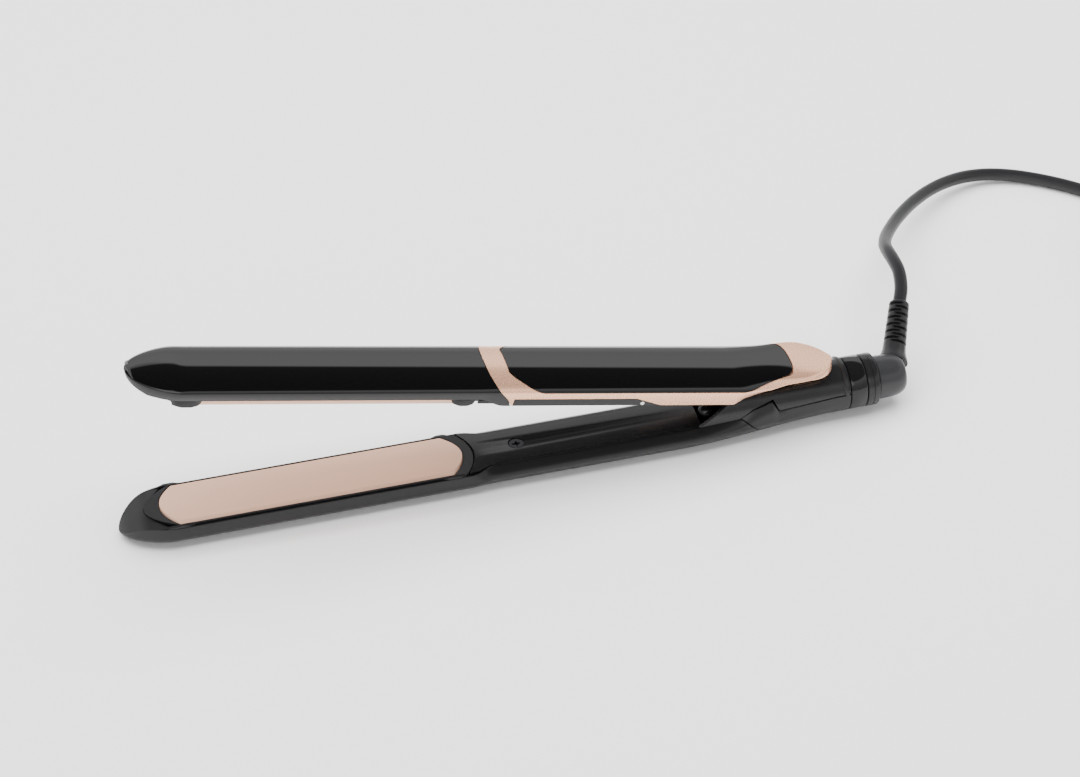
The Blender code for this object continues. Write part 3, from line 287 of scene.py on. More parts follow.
def plug_grid():
    """Rings along the plug: a rounded rectangle |x/a|^n + |z/b|^n = 1 whose half sizes fall to
    the round neck, with shallow finger ribs on its flanks."""
    u = np.linspace(0.0, 1.0, 90)[:, None]
    a = np.linspace(0.0, 2 * math.pi, 72, endpoint=False)[None, :]
    y = u * PLUG_LENGTH
    body = 1 - eased(y, 0.029, 0.040)
    power = 2.0 + 5.0 * body
    ends = np.sqrt(np.clip(1 - (1 - np.minimum(y / 0.0022, 1.0)) ** 2, 0.0, 1.0))
    wide = (PLUG_NECK + (PLUG_WIDE - PLUG_NECK) * body) * (0.90 + 0.10 * ends)
    high = (PLUG_NECK + (PLUG_HIGH - PLUG_NECK) * body) * (0.84 + 0.16 * ends)
    ribs = np.sin(2 * math.pi * (y - 0.010) / 0.003) * eased(y, 0.009, 0.011)
    ribs = ribs * (1 - eased(y, 0.024, 0.026)) * 0.0003 * np.abs(np.cos(a)) ** 6
    reach = (np.abs(np.cos(a)) ** power + np.abs(np.sin(a)) ** power) ** (-1 / power)
    x = plug_end[0] + (wide + ribs) * reach * np.cos(a)
    z = PLUG_HEIGHT + high * reach * np.sin(a)
    y = coil_at[1] - 0.0700 + y + 0.0 * a
    return np.stack([x, y, z], axis=-1)


plug_pvc = moulded("plug_pvc", (0.014, 0.014, 0.015), 0.38, grain=1800.0, depth=0.00002)
plug = piece("plug_moulding", sheet_mesh("plug_moulding", plug_grid(), True, True), "lower_arm",
             plug_pvc, ["plug_body"])


PIN_LENGTH = 0.0189
PIN_RADIUS = 0.0020
PIN_SPREAD = 0.0093          # from the plug's middle to each pin


def pin_grid(side):
    """Round pin: slimmer in its sleeve, and a rounded nose r = R sqrt(1 - k^2)."""
    u = np.linspace(0.0, 1.0, 40)[:, None]
    a = np.linspace(0.0, 2 * math.pi, 28, endpoint=False)[None, :]
    y = u * PIN_LENGTH
    k = np.clip((0.0016 - y) / 0.0016, 0.0, 1.0)
    radius = PIN_RADIUS * np.sqrt(np.clip(1 - k * k, 0.01, 1.0)) - 0.0002 * eased(y, 0.0090, 0.0094)
    x = plug_end[0] + side * PIN_SPREAD + radius * np.cos(a)
    z = PLUG_HEIGHT + radius * np.sin(a)
    return np.stack([x, coil_at[1] - 0.0892 + y + 0.0 * a, z], axis=-1)


def metal(name, colour, roughness, grain, depth, stretch=(1.0, 1.0, 1.0), metallic=1.0):
    """Metal or metallic lacquer: noise stretched along one direction lifts and dulls it."""
    made = bpy.data.materials.new(name)
    made.use_nodes = True
    tree = made.node_tree
    shader = tree.nodes["Principled BSDF"]
    shader.inputs["Base Color"].default_value = (*colour, 1.0)
    shader.inputs["Metallic"].default_value = metallic
    place = tree.nodes.new("ShaderNodeTexCoord")
    mapping = tree.nodes.new("ShaderNodeMapping")
    mapping.inputs["Scale"].default_value = stretch
    fine = tree.nodes.new("ShaderNodeTexNoise")
    fine.inputs["Scale"].default_value = grain
    fine.inputs["Detail"].default_value = 4.0
    gloss = tree.nodes.new("ShaderNodeMapRange")
    gloss.inputs["To Min"].default_value = roughness * 0.85
    gloss.inputs["To Max"].default_value = roughness * 1.15
    bump = tree.nodes.new("ShaderNodeBump")
    bump.inputs["Distance"].default_value = depth
    tree.links.new(place.outputs["Object"], mapping.inputs["Vector"])
    tree.links.new(mapping.outputs["Vector"], fine.inputs["Vector"])
    tree.links.new(fine.outputs["Fac"], gloss.inputs["Value"])
    tree.links.new(gloss.outputs["Result"], shader.inputs["Roughness"])
    tree.links.new(fine.outputs["Fac"], bump.inputs["Height"])
    tree.links.new(bump.outputs["Normal"], shader.inputs["Normal"])
    return made


bright_brass = metal("bright_brass", (0.78, 0.62, 0.34), 0.22, 900.0, 0.000005, (1, 6, 1))
pins = [piece(name, sheet_mesh(name, pin_grid(side), True, True), "lower_arm", bright_brass,
              [node])
        for name, node, side in (("plug_pin_left", "plug_pin_a", -1),
                                 ("plug_pin_right", "plug_pin_b", 1))]


STRAP_HALF_WIDTH = 0.0060


def strap_grid():
    """Closed strap round the bundle: a rounded square |x/h|^8 + |z/h|^8 = 1 as wide as the strap."""
    w = np.array([-1.0, -1.0, -0.9, 0.9, 1.0, 1.0, 0.9, -0.9])[:, None] * STRAP_HALF_WIDTH
    half = np.array([0.00865, 0.0094, 0.0096, 0.0096, 0.0094, 0.00865, 0.00855, 0.00855])[:, None]
    a = np.linspace(0.0, 2 * math.pi, 96, endpoint=False)[None, :]
    reach = (np.abs(np.cos(a)) ** 8 + np.abs(np.sin(a)) ** 8) ** (-1 / 8)
    bow = 0.0009 * (np.cos(a) > 0)
    x = coil_at[0] - COIL_RADIUS + half * reach * np.cos(a) + bow
    z = COIL_HEIGHT + half * reach * np.sin(a)
    return np.stack([x, coil_at[1] + w + 0.0 * a, np.maximum(z, 0.0001)], axis=-1)


strap_points = strap_grid()
strap_weave = moulded("strap_weave", (0.02, 0.02, 0.021), 0.85, grain=2600.0, depth=0.00025)
strap_mesh = sheet_mesh("coil_strap", np.vstack([strap_points, strap_points[:1]]), True)
strap = piece("coil_strap", strap_mesh, "lower_arm", strap_weave, ["coil_tie"])


# ---- Swivel elbow and strain relief --------------------------------------------------------
# The elbow is a stubby satin-grey cap that turns in the tail. Its rubber strain relief flares
# out of the cap and is slotted from either side in turn, so that it bends but doesn't kink.

def turned_grid(profile, count=96):
    """Profile of (station, radius) carried round the tail's axis."""
    s, r = np.array(profile).T[:, :, None]
    a = np.linspace(0.0, 2 * math.pi, count, endpoint=False)[None, :]
    return np.stack([s + SHIFT + 0.0 * a, r * np.sin(a), AXIS_Z - r * np.cos(a)], axis=-1)


elbow_profile = [(0.2911, 0.0), (0.2911, 0.0083), (0.2912, 0.0086), (0.2915, 0.0089),
                 (0.2930, 0.0088), (0.2955, 0.0087), (0.2978, 0.0086), (0.2996, 0.0084),
                 (0.3010, 0.0080), (0.3021, 0.0075), (0.3029, 0.0069), (0.3034, 0.0062),
                 (0.3038, 0.0052), (0.30385, 0.0038), (0.30390, 0.0)]
satin_grey = moulded("satin_grey", (0.022, 0.022, 0.024), 0.33, grain=1500.0, depth=0.00002)
elbow = piece("swivel_cap", sheet_mesh("swivel_cap", turned_grid(elbow_profile), True), "swivel",
              satin_grey, ["cord_elbow"])


def relief_grid():
    """Tapered sleeve along the cord's way out: flared foot, then grooves 1.1 mm wide every
    3.2 mm that reach two thirds of the way round, from one side and then from the other."""
    u = np.linspace(0.0, 1.0, 260)[:, None]
    a = np.linspace(0.0, 2 * math.pi, 64, endpoint=False)[None, :]
    run = 0.0055 + u * 0.0274
    radius = 0.0049 - 0.0008 * u + 0.0012 * np.exp(-((run - 0.0055) / 0.0032) ** 2)
    phase = (run - 0.0125) / 0.0016
    number = np.floor(phase)
    within = phase - number
    groove = eased(within, 0.10, 0.26) * (1 - eased(within, 0.74, 0.90))
    groove = groove * (number >= 0) * (number < 12)
    side = np.where(number % 2 == 0, 1.0, -1.0)
    reach = eased(side * np.cos(a), -0.45, -0.15)
    radius = radius - 0.0013 * groove * reach
    tip = np.clip((u - 0.97) / 0.03, 0.0, 1.0)
    radius = radius - 0.0011 * (1 - np.sqrt(1 - tip ** 2))
    way = relief_way / np.linalg.norm(relief_way)
    flat = np.cross(way, (0.0, 0.0, 1.0))
    flat = flat / np.linalg.norm(flat)
    rise = np.cross(flat, way)
    return (elbow_at + run[..., None] * way + (radius * np.cos(a))[..., None] * flat
            + (radius * np.sin(a))[..., None] * rise)


relief_rubber = moulded("relief_rubber", (0.014, 0.014, 0.015), 0.36, grain=1300.0, depth=0.00003)
relief = piece("strain_relief", sheet_mesh("strain_relief", relief_grid(), True, True), "swivel",
               relief_rubber)


# ---- Lower arm's shell ---------------------------------------------------------------------
# A long tray moulded in black glass-filled nylon: round nose, narrow rims along the handle and
# a flat underside that the iron lies on. Its rear end is cut on a slant where the tail begins.

HINGE = 0.2720               # station of the hinge pin
TIP = 0.0163                 # how far the nose reaches in front of station 0
WALL = 0.0014
TAIL_RADIUS = 0.0107


def nose_share(s):
    """Share of the full width behind the tip: sqrt(1 - (1 - k)^1.5), k running over 20 mm."""
    k = np.clip((s + TIP) / 0.020, 0.0, 1.0)
    return np.sqrt(np.clip(1 - (1 - k) ** 1.5, 0.0, 1.0))


def nose_fall(s):
    """How far the nose's top has dropped: (1 - k)^2, k running from the tip to the carrier."""
    return (1 - np.clip((s + TIP) / 0.0125, 0.0, 1.0)) ** 2


def seam_height(s):
    """Height over the plate plane of the join between the tail's two covers."""
    return np.interp(s - HINGE, [-0.0590, -0.0405, -0.0352, -0.0270, -0.0245, -0.0010, 0.0060],
                     [-0.0012, -0.0003, 0.0028, 0.0049, 0.0003, 0.0019, 0.0021])


def half_section(k, width, rim, rim_t, wide_t, edge, edge_t, depth, flat):
    """Half a section: a quarter sine from rim (k 0) to widest line (1), a straight chamfer to the
    crown's edge (2), and a crown that falls with the square of the distance from its flat (3)."""
    side, slope, crown = (np.clip(k - step, 0.0, 1.0) for step in (0.0, 1.0, 2.0))
    v = rim + (width - rim) * np.sin(side * math.pi / 2)
    v = np.where(k > 1, width - (width - edge) * slope, v)
    v = np.where(k > 2, edge * (1 - crown), v)
    t = rim_t + (wide_t - rim_t) * side + (edge_t - wide_t) * slope
    away = np.clip((v - flat) / np.maximum(edge - flat, 1e-6), 0.0, 1.0)
    return v, np.where(k > 2, edge_t + (depth - edge_t) * (1 - away ** 2), t)


def section_columns(half):
    """Section parameter and side for columns from the near rim over the crown to the far one."""
    k = np.concatenate([np.linspace(0.0, 1.0, half), np.linspace(1.0, 2.0, half // 2 + 1)[1:],
                        np.linspace(2.0, 3.0, half)[1:]])
    return (np.concatenate([k, k[-2::-1]])[None, :],
            np.concatenate([-np.ones(len(k)), np.ones(len(k) - 1)])[None, :])


def eased_across(v, t, times):
    """Corners of a section rounded: each point moves to (before + 2 itself + after) / 4."""
    for _ in range(times):
        v[:, 1:-1] = (v[:, :-2] + 2 * v[:, 1:-1] + v[:, 2:]) / 4
        t[:, 1:-1] = (t[:, :-2] + 2 * t[:, 1:-1] + t[:, 2:]) / 4
    return v, t


def lower_points(s, k, sign, wall=0.0):
    """Outside of the lower arm at stations s, or its inside one wall in; behind the handle the
    section turns into a circle of TAIL_RADIUS about the tail's axis."""
    full = nose_share(s)
    handle = eased(s, 0.121, 0.132)
    tail = eased(s, HINGE - 0.0645, HINGE + 0.003)
    width = 0.0146 - 0.0002 * handle - wall
    rim = np.minimum(0.0136 - 0.0034 * handle - 0.4 * wall, width - 0.0003)
    rim_t = 0.0020 - 0.0008 * handle + 0.0066 * nose_fall(s)
    rim_t = np.where(s > HINGE - 0.0590, -seam_height(s), rim_t)
    wide_t = 0.0088 + (0.0069 - 0.0019 * handle - 0.0088) * full
    v, t = half_section(k, width * full, rim * full, np.minimum(rim_t, wide_t - 0.0001 * full),
                        wide_t, (width - 0.0034) * full, 0.0088 + (0.0014 - wall) * full,
                        0.0088 + (0.0027 - wall) * full, 0.0050 * full)
    v, t = eased_across(v * np.ones_like(t), t, 5)
    start = math.pi / 2 - np.arcsin(seam_height(s) / TAIL_RADIUS)
    angle = start + (math.pi - start) * k / 3
    v = v * (1 - tail) + (TAIL_RADIUS - wall) * np.sin(angle) * tail
    t = t * (1 - tail) - (TAIL_RADIUS - wall) * np.cos(angle) * tail
    return np.stack([s + SHIFT + 0.0 * v, v * sign, AXIS_Z - t], axis=-1)


def walled(name, outside, inside):
    """Closed shell: the outside's columns and the inside's, run back, make one ring per row."""
    return sheet_mesh(name, np.concatenate([outside, inside[:, ::-1]], axis=1), True, True)


TRAY_END = 0.2315            # at the rim; the slant runs back from there to the wide part
SLANT = 0.0105
k_lower, side_lower = section_columns(11)
rows = np.concatenate([-TIP + 0.020 * np.linspace(0.0, 1.0, 40) ** 2, np.linspace(0.006, 0.118, 30),
                       np.linspace(0.1195, 0.134, 14), np.linspace(0.138, 0.2120, 16),
                       np.linspace(0.2130, TRAY_END, 14)])[:, None]
rows = rows + (np.clip((rows - TRAY_END + 0.0100) / 0.0100, 0.0, 1.0)
               * SLANT * np.clip(k_lower / 2, 0.0, 1.0))
matt_nylon = moulded("matt_nylon", (0.0085, 0.0085, 0.0092), 0.30, grain=2200.0, depth=0.000012)
piece("lower_arm_tray", walled("lower_arm_tray", lower_points(rows, k_lower, side_lower),
                               lower_points(rows, k_lower, side_lower, WALL)),
      "lower_arm", matt_nylon, ["lower_outer_shell"])


def front_arc(v, start, sag, half):
    """Bowed end of a plate or carrier: start + sag (v / half)^2."""
    return start + sag * (v / half) ** 2


def deck_grid(thickness):
    """Top of the nose in front of the plate: across from rim to rim, along from the tip to the
    carrier's bowed front, crowned a little in the middle; returned with its own underside."""
    q = np.linspace(-1.0, 1.0, 41)[None, :]
    r = np.linspace(0.0, 1.0, 30)[:, None] ** 1.6
    end = front_arc(q * 0.0121, -0.0063, 0.0110, 0.0124)
    s = -TIP + 0.0002 + (end + TIP - 0.0002) * r
    full = nose_share(s)
    v = q * 0.01365 * full
    t = 0.0019 + 0.0066 * nose_fall(s) - 0.0003 * (1 - q * q) * r
    return s, v, t, t + thickness * np.minimum(r * 4, 1.0) + 0.00005


deck_s, deck_v, deck_t, deck_under = deck_grid(0.0012)
piece("lower_nose_deck",
      walled("lower_nose_deck", np.stack([deck_s + SHIFT, deck_v, AXIS_Z - deck_t], axis=-1),
             np.stack([deck_s + SHIFT, deck_v, AXIS_Z - deck_under], axis=-1)),
      "lower_arm", matt_nylon)


# ---- Hot plates ----------------------------------------------------------------------------
# Each plate is an aluminium bar with a rose-coloured ceramic coat, 24 by 120 mm, its long edges
# bevelled so that hair slides off, and both ends bowed. It floats on silicone in its carrier.

OPENING = math.radians(11.9)
PLATE_LENGTH = 0.120
PLATE_BOW = 0.0062


def upper_place():
    """Arm coordinates of the upper arm to the row frame: turned open about the hinge."""
    return (Matrix.Translation((HINGE + SHIFT, 0.0, AXIS_Z)) @ Matrix.Rotation(OPENING, 4, "Y")
            @ Matrix.Translation((-HINGE, 0.0, 0.0)))


def lower_place():
    """Arm coordinates of the lower arm to the row frame: a half turn about the arm."""
    return Matrix.Translation((SHIFT, 0.0, AXIS_Z)) @ Matrix.Rotation(math.pi, 4, "X")


def placed(mesh, matrix):
    """Mesh carried from arm coordinates to the row frame."""
    mesh.transform(matrix)
    return mesh


def plate_grid():
    """Outlines with bowed ends, one above the other: face, rounded edge, bevel, side."""
    t = np.array([0.00026, 0.00026, 0.00029, 0.00037, 0.00135, 0.00146, 0.0032])[:, None]
    half = np.array([0.0020, 0.01040, 0.01056, 0.01064, 0.01158, 0.01170, 0.01170])[:, None]
    inset = np.array([0.0080, 0.0003, 0.00014, 0.00008, 0.0, 0.0, 0.0])[:, None]
    q = np.linspace(-1.0, 1.0, 41)[None, :]
    s = np.hstack([inset + PLATE_BOW * q ** 2, PLATE_LENGTH - inset - PLATE_BOW * q ** 2])
    v = np.hstack([half * q, -half * q])
    return np.stack([s, v, t + 0.0 * s], axis=-1)


rose_plate = metal("rose_plate", (0.74, 0.455, 0.325), 0.36, 700.0, 0.0000025, (0.15, 1, 1), 0.40)
for arm, place in (("lower", lower_place()), ("upper", upper_place())):
    mesh = placed(sheet_mesh(arm + "_hot_plate", plate_grid(), True, True), place)
    piece(arm + "_hot_plate", mesh, arm + "_plate_unit", rose_plate,
          [arm + "_plate"])


# ---- Plate carriers, inner covers and small fittings ---------------------------------------
# Heat-resistant black frames hold the plates. The handles are closed inside by smooth covers;
# a countersunk screw holds the lower one and three keys stand in the upper one.

def rounded(made, width, segments=2, angle=40):
    """Edges over the angle rounded with a small bevel."""
    bevel = made.modifiers.new("round_off", "BEVEL")
    bevel.width = width
    bevel.segments = segments
    bevel.limit_method = "ANGLE"
    bevel.angle_limit = math.radians(angle)
    bevel.use_clamp_overlap = True
    bevel.harden_normals = True
    return made


def dressed(node, name, body, material, width=0.00025, segments=2):
    """A solid's own shape with its doubles merged and its edges rounded by a bevel."""
    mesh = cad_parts[node].data.copy()
    bm = bmesh.new()
    bm.from_mesh(mesh)
    bmesh.ops.remove_doubles(bm, verts=bm.verts, dist=2e-6)
    bmesh.ops.dissolve_limit(bm, angle_limit=math.radians(0.6), verts=bm.verts, edges=bm.edges)
    bm.to_mesh(mesh)
    bm.free()
    mesh.shade_smooth()
    mesh.set_sharp_from_angle(angle=math.radians(32))
    return rounded(piece(name, mesh, body, material, [node]), width, segments, 35)


heat_nylon = moulded("heat_nylon", (0.010, 0.010, 0.011), 0.34, grain=1600.0, depth=0.00002)
cover_black = moulded("cover_black", (0.0075, 0.0075, 0.0082), 0.24, grain=1900.0, depth=0.000008)
plain_steel = metal("plain_steel", (0.50, 0.50, 0.52), 0.30, 500.0, 0.000004, (1, 1, 8))
dressed("lower_plate_carrier", "lower_plate_frame", "lower_arm", heat_nylon, 0.0002)
dressed("upper_plate_carrier", "upper_plate_frame", "upper_arm", heat_nylon, 0.0002)
dressed("lower_inner_cover", "lower_handle_cover", "lower_arm", cover_black)
dressed("upper_inner_cover", "upper_handle_cover", "upper_arm", cover_black)
for node in ("power_button", "plus_button", "minus_button"):
    dressed(node, node + "_cap", node.split("_")[0] + "_key", satin_grey, 0.0003, 3)
stop_rubber = moulded("stop_rubber", (0.010, 0.010, 0.010), 0.16, grain=600.0, depth=0.00001)
dressed("arm_bumper", "soft_stop", "lower_arm", stop_rubber)


SCREW_AT = 0.1422            # station of the screw
SCREW_FACE = 0.0027          # radius of its flat face


def screw_head():
    """Countersunk head with a cross recess: depth falls where either arm of the cross, 0.8 mm
    wide, is near, and the cone below runs to the shank."""
    a = np.linspace(0.0, 2 * math.pi, 96, endpoint=False)[None, :]
    r = np.concatenate([np.linspace(0.02, 1.0, 26) * SCREW_FACE,
                        [0.0029, 0.0030, 0.0017, 0.0017]])[:, None]
    x, y = r * np.cos(a), r * np.sin(a)
    narrow_x, narrow_y = (1 - eased(np.abs(at), 0.0003, 0.00045) for at in (x, y))
    short_x, short_y = (1 - eased(np.abs(at), 0.0014, 0.0017) for at in (x, y))
    cross = np.maximum(narrow_x * short_y, narrow_y * short_x)
    t = 0.00100 + 0.0009 * cross
    t[-4], t[-3], t[-2], t[-1] = 0.00103, 0.00120, 0.00190, 0.0080
    return np.stack([SCREW_AT + x, y, t], axis=-1)


dark_steel = metal("dark_steel", (0.060, 0.060, 0.065), 0.32, 500.0, 0.000004)
screw_mesh = placed(sheet_mesh("cover_screw_head", screw_head(), True, True), lower_place())
piece("cover_screw_head", screw_mesh, "lower_arm", dark_steel, ["cover_screw"])


# ---- Upper arm's shell, trim, insert and strips ---------------------------------------------
# The upper arm is piano-black ABS. A rose-gold lacquered trim runs round it as a band, a rail
# along each side and a crescent over the tail, and holds a gloss insert; matt strips lie below.

def upper_points(s, k, sign, wall=0.0):
    """Outside of the upper arm in arm coordinates, or its inside one wall in. The rear closes as
    width sqrt(1 - c^2.6) while its lower edge lifts over the tail."""
    full = nose_share(s)
    handle = eased(s, 0.120, 0.130)
    crest = eased(s, HINGE - 0.046, HINGE - 0.012)
    close = np.clip((s - (HINGE - 0.022)) / 0.0195, 0.0, 1.0)
    taper = np.sqrt(np.clip(1 - close ** 2.6, 0.0, 1.0))
    width = (0.0149 - 0.0019 * eased(s, HINGE - 0.046, HINGE - 0.022)) * taper - wall
    width = np.maximum(width, 0.0004)
    rim_t = 0.0042 - 0.0030 * handle
    lift = np.interp(s, HINGE + np.array([-0.046, -0.0422, -0.0245, -0.016]), [0.0, 0.3, 0.84, 1.0])
    rim_t = rim_t + (0.0113 - rim_t) * lift
    wide_t = np.maximum(0.0084, rim_t + 0.0009)
    edge_t = np.maximum(0.0112 + 0.0029 * crest - wall, wide_t + 0.0001)
    depth = np.maximum(0.0132 + 0.0014 * crest - wall, edge_t + 0.0001)
    rim_t, wide_t, edge_t, depth = (0.0086 + (x - 0.0086) * share
                                    for x, share in ((rim_t, np.minimum(1.4 * full, 1.0)),
                                                     (wide_t, full), (edge_t, full ** 1.7),
                                                     (depth, full ** 1.7)))
    rim = np.maximum(width - (0.0012 if wall == 0.0 else 0.0010), 0.0002)
    edge = np.maximum(width - 0.0029 + 0.0014 * crest, 0.6 * width)
    v, t = half_section(k, width * full, rim * full, rim_t, wide_t, edge * full, edge_t, depth,
                        0.0020 * full)
    v, t = eased_across(v * np.ones_like(t), t, 3)
    return np.stack([s + 0.0 * v, v * sign, t], axis=-1)


def carved(mesh, outline, operation, low=-0.03, high=0.03):
    """Mesh cut away by, or kept inside, an outline in (along, up) carried across the arm."""
    count = len(outline)
    sides = np.array([[x, y, z] for y in (low, high) for x, z in outline])
    index = np.arange(count)
    after = np.roll(index, -1)
    faces = [index.tolist(), (index[::-1] + count).tolist()]
    faces += np.stack([after, index, index + count, after + count], axis=1).tolist()
    tool_mesh = bpy.data.meshes.new("outline")
    tool_mesh.from_pydata(sides.tolist(), [], faces)
    tool = bpy.data.objects.new("outline", settled(tool_mesh))
    work = bpy.data.objects.new("work", mesh)
    for item in (tool, work):
        scene.collection.objects.link(item)
    cut = work.modifiers.new("cut", "BOOLEAN")
    cut.operation = operation
    cut.solver = "EXACT"
    cut.object = tool
    evaluated = work.evaluated_get(bpy.context.evaluated_depsgraph_get())
    made = bpy.data.meshes.new_from_object(evaluated)
    bpy.data.objects.remove(work)
    bpy.data.objects.remove(tool)
    return settled(made)


def upper_shell(name, stations, fronts=None, rears=None, wall=WALL):
    """Walled length of the upper arm between two lines, each a station for every column."""
    s = stations[:, None] + 0.0 * k_upper
    if fronts is not None:
        s = s + np.clip((stations[0] + 0.012 - s) / 0.012, 0.0, 1.0) * (fronts - stations[0])
    if rears is not None:
        s = s + np.clip((s - stations[-1] + 0.012) / 0.012, 0.0, 1.0) * (rears - stations[-1])
    back = wall * eased(s, HINGE - 0.030, HINGE - 0.0025)
    return walled(name, upper_points(s, k_upper, side_upper),
                  upper_points(s - back, k_upper, side_upper, wall))


k_upper, side_upper = section_columns(11)
piano_black = moulded("piano_black", (0.0022, 0.0022, 0.0025), 0.05, grain=160.0, depth=0.000003,
                      uneven=0.02, glint=0.42)
BAND_START = 0.1234
MEETING = 0.00012            # half the gap between pieces cut by one outline
band_front = BAND_START + np.interp(k_upper, [0.0, 0.5, 1.0, 1.5, 2.0, 2.3, 2.6, 3.0],
                                [0.0098, 0.0078, 0.0042, 0.0030, 0.0018, 0.0006, 0.0001, 0.0])
stations = np.concatenate([-TIP + 0.020 * np.linspace(0.0, 1.0, 40) ** 2, np.linspace(0.006, 0.110, 28),
                           np.linspace(0.112, 0.1231, 14)])
mesh = placed(upper_shell("upper_arm_shell", stations, rears=band_front - 0.0003), upper_place())
piece("upper_arm_shell", mesh, "upper_arm", piano_black, ["upper_outer_shell"])

DECK_RAISE = 0.0022          # the upper nose's top lies this much higher than the lower one's
deck = walled("upper_nose_deck", np.stack([deck_s, deck_v, deck_t + DECK_RAISE], axis=-1),
              np.stack([deck_s, deck_v, deck_under + DECK_RAISE], axis=-1))
piece("upper_nose_deck", placed(deck, upper_place()), "upper_arm", piano_black)

stations = np.concatenate([np.linspace(BAND_START, 0.1390, 24), np.linspace(0.1410, 0.2240, 30),
                           np.linspace(0.2255, 0.2500, 30),
                           HINGE - 0.0025 - 0.0195 * (1 - np.linspace(0.0, 1.0, 26)[1:]) ** 1.6])
body_mesh = upper_shell("handle_body", stations, fronts=band_front)


def insert_outline(grow):
    """Side view of the insert, its lower line grown by grow."""
    points = np.array([(0.1320, 0.0126), (0.1328, 0.01235), (0.1338, 0.0120), (0.1349, 0.01165),
                       (0.1360, 0.0113), (0.1376, 0.01065), (0.1390, 0.0100), (0.1406, 0.0093),
                       (0.1422, 0.0087), (0.1438, 0.0082), (0.1455, 0.0079), (0.2290, 0.0079),
                       (0.2320, 0.0084), (0.2350, 0.0094), (0.2390, 0.0107), (0.2430, 0.0120),
                       (0.2460, 0.0128), (0.2490, 0.0135), (0.2525, 0.0150)])
    points[1:-1, 1] -= grow
    points[0, 0] -= grow
    points[-1, 0] += grow
    return np.vstack([points, [(points[-1, 0], 0.03), (points[0, 0], 0.03)]])


def strip_outline(grow):
    """Side view of the strips under the rail."""
    return np.array([(0.1338 - grow, -0.002), (0.2038 + grow, -0.002), (0.1840 + grow, 0.0049 + grow),
                     (0.1338 - grow, 0.0049 + grow)])


rose_lacquer = metal("rose_lacquer", (0.88, 0.50, 0.325), 0.27, 2600.0, 0.000004, (1, 1, 1), 0.72)
trim_mesh = carved(body_mesh.copy(), insert_outline(MEETING), "DIFFERENCE")
trim_mesh = carved(trim_mesh, strip_outline(MEETING), "DIFFERENCE")
rounded(piece("rose_trim", placed(trim_mesh, upper_place()), "upper_arm", rose_lacquer,
              ["upper_trim"]), 0.0002)
insert_mesh = carved(body_mesh.copy(), insert_outline(-MEETING), "INTERSECT")
rounded(piece("gloss_insert", placed(insert_mesh, upper_place()), "upper_arm", piano_black,
              ["handle_insert"]), 0.0002)
strip_black = moulded("strip_black", (0.010, 0.010, 0.011), 0.30, grain=2400.0, depth=0.00001)
for name, node, low, high in (("near_strip", "control_strip", -0.03, -0.004),
                              ("far_strip", "far_side_strip", 0.004, 0.03)):
    strip = carved(body_mesh.copy(), strip_outline(-MEETING), "INTERSECT", low, high)
    rounded(piece(name, placed(strip, upper_place()), "upper_arm", strip_black,
                  [node]), 0.00015)


# ---- Tail: housing, lower cover, lock ring and collar --------------------------------------
# The tail is a tube of 21 mm that carries the hinge pin between its cheeks. A gloss ring behind
# it locks the arms when it is turned, and a matt collar holds the swivel.

k_tail, side_tail = section_columns(14)
stations = np.concatenate([[0.2320], np.linspace(0.2330, 0.2440, 12), [0.2450, 0.2460, 0.2470, 0.2475],
                           np.linspace(0.2480, 0.2745, 22), [0.2752, 0.2757, 0.2762, 0.2768, 0.2772,
                                                             0.2776, 0.2780]])[:, None]
starts = TRAY_END + 0.0004 + SLANT * np.clip(k_tail / 2, 0.0, 1.0)
fading = np.clip((0.2320 + 0.030 - stations) / 0.030, 0.0, 1.0)
cover_rows = stations + fading * (starts - 0.2320)
cover = walled("tail_underside", lower_points(cover_rows, k_tail, side_tail),
               lower_points(cover_rows, k_tail, side_tail, WALL))
rounded(piece("tail_underside", cover, "lower_arm", matt_nylon,
              ["tail_lower_cover"]), 0.0002)

TUBE_RADIUS = 0.0106
TUBE_BORE = 0.0092
along = np.concatenate([np.linspace(0.2115, 0.2750, 20),
                        [0.2754, 0.2758, 0.2762, 0.2772, 0.2776, 0.2780]])
flange = np.interp(along, [0.2755, 0.2759, 0.2771, 0.2775], [0.0, 0.0008, 0.0008, 0.0])
outer = turned_grid(np.stack([along, TUBE_RADIUS + flange], axis=1), 120)
inner = turned_grid(np.stack([along, np.full(len(along), TUBE_BORE)], axis=1), 120)
tube = sheet_mesh("tail_tube", np.concatenate([outer, inner[::-1], outer[:1]], axis=0), True)
outline = np.array([(0.0070, 0.0025), (-0.0010, 0.0023), (-0.0241, 0.0007), (-0.0266, 0.0057),
                    (-0.0354, 0.0032), (-0.0405, 0.0001), (-0.0575, -0.0008), (-0.0486, 0.0048),
                    (-0.0430, 0.0076), (-0.0412, 0.0083), (-0.0385, 0.0086), (-0.0100, 0.0086),
                    (-0.0093, 0.0090), (-0.0088, 0.0120), (0.0070, 0.0120)]) + (HINGE + SHIFT, AXIS_Z)
tail_grey = moulded("tail_grey", (0.0095, 0.0095, 0.0102), 0.27, grain=1500.0, depth=0.000012)
rounded(piece("tail_cheeks", carved(tube, outline, "INTERSECT"), "lower_arm", tail_grey,
              ["tail_housing"]), 0.0002)

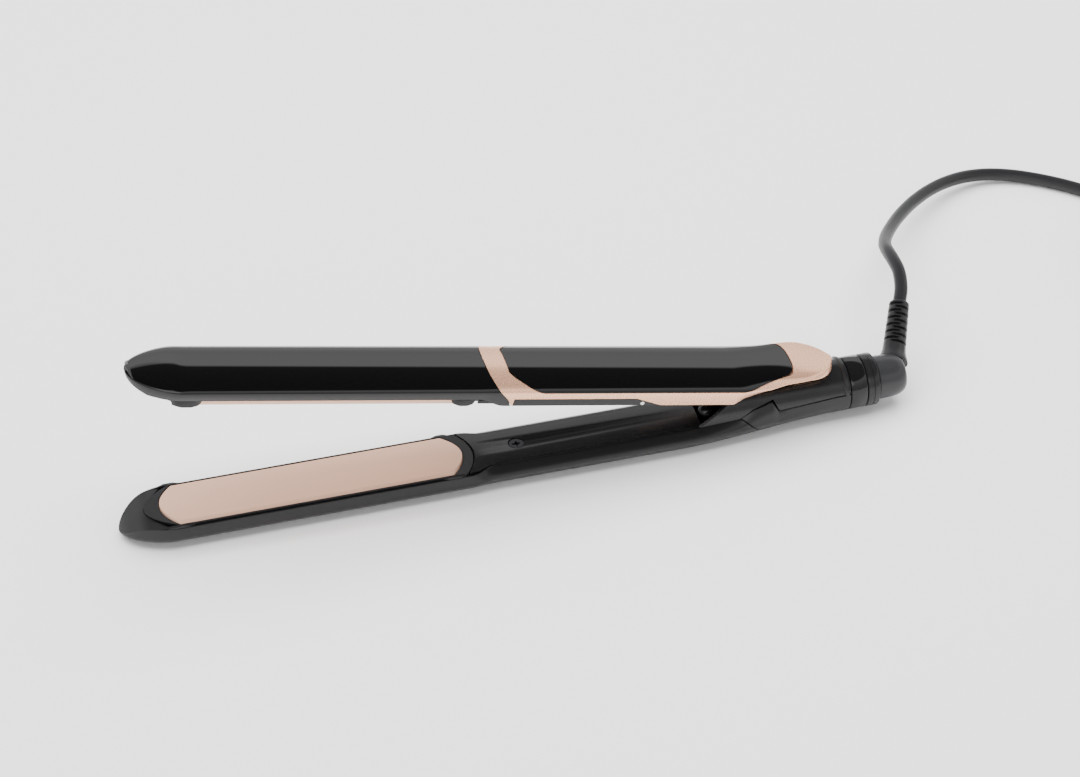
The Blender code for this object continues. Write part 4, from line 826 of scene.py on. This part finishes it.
ring_profile = [(0.2784, 0.0073), (0.2784, 0.0102), (0.27855, 0.0105), (0.2789, 0.01065),
                (0.2849, 0.01065), (0.28515, 0.0105), (0.2853, 0.0102), (0.2853, 0.0073),
                (0.2784, 0.0073)]
ring_gloss = moulded("ring_gloss", (0.006, 0.006, 0.0065), 0.09, grain=300.0, depth=0.000004,
                     uneven=0.03)
piece("lock_ring_sleeve", sheet_mesh("lock_ring_sleeve", turned_grid(ring_profile), True), "ring",
      ring_gloss, ["lock_ring"])
collar_profile = [(0.2775, 0.0059), (0.2775, 0.0070), (0.2856, 0.0070), (0.2856, 0.0102),
                  (0.28575, 0.0105), (0.2861, 0.0106), (0.2880, 0.0106), (0.28815, 0.0104),
                  (0.2883, 0.0104), (0.28845, 0.0106), (0.2902, 0.0106), (0.2906, 0.0104),
                  (0.2908, 0.0100), (0.2908, 0.0059), (0.2775, 0.0059)]
piece("end_collar", sheet_mesh("end_collar", turned_grid(collar_profile), True), "lower_arm",
      tail_grey, ["swivel_collar"])


# ---- Inner parts ---------------------------------------------------------------------------
# What the covers hide: heaters clamped under the plates, sensors, silicone pads, the control
# board, the hinge's pin, lug and spring, the latch and the swivel's contacts.

white_ceramic = moulded("white_ceramic", (0.76, 0.75, 0.70), 0.60, grain=1200.0, depth=0.00002)
red_silicone = moulded("red_silicone", (0.42, 0.07, 0.05), 0.50, grain=500.0, depth=0.00002)
solder_mask = moulded("solder_mask", (0.015, 0.12, 0.05), 0.35, grain=800.0, depth=0.00004)
lamp_lens = moulded("lamp_lens", (0.75, 0.75, 0.72), 0.20, grain=400.0, depth=0.000005)
finishes = {
    "lower_heater": white_ceramic, "upper_heater": white_ceramic, "lower_heater_clamp": plain_steel,
    "upper_heater_clamp": plain_steel, "lower_thermistor": solder_mask, "upper_thermistor": solder_mask,
    "lower_cushion_front": red_silicone, "lower_cushion_rear": red_silicone,
    "upper_cushion_front": red_silicone, "upper_cushion_rear": red_silicone,
    "circuit_board": solder_mask, "status_light": lamp_lens, "hinge_pin": plain_steel,
    "opening_spring": plain_steel, "lock_latch": plain_steel, "upper_hinge_knuckle": satin_grey,
    "swivel_spindle": satin_grey, "contact_ring_a": bright_brass, "contact_ring_b": bright_brass,
    "retaining_clip": plain_steel}
for node, material in finishes.items():
    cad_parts[node].data.materials.clear()
    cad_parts[node].data.materials.append(material)
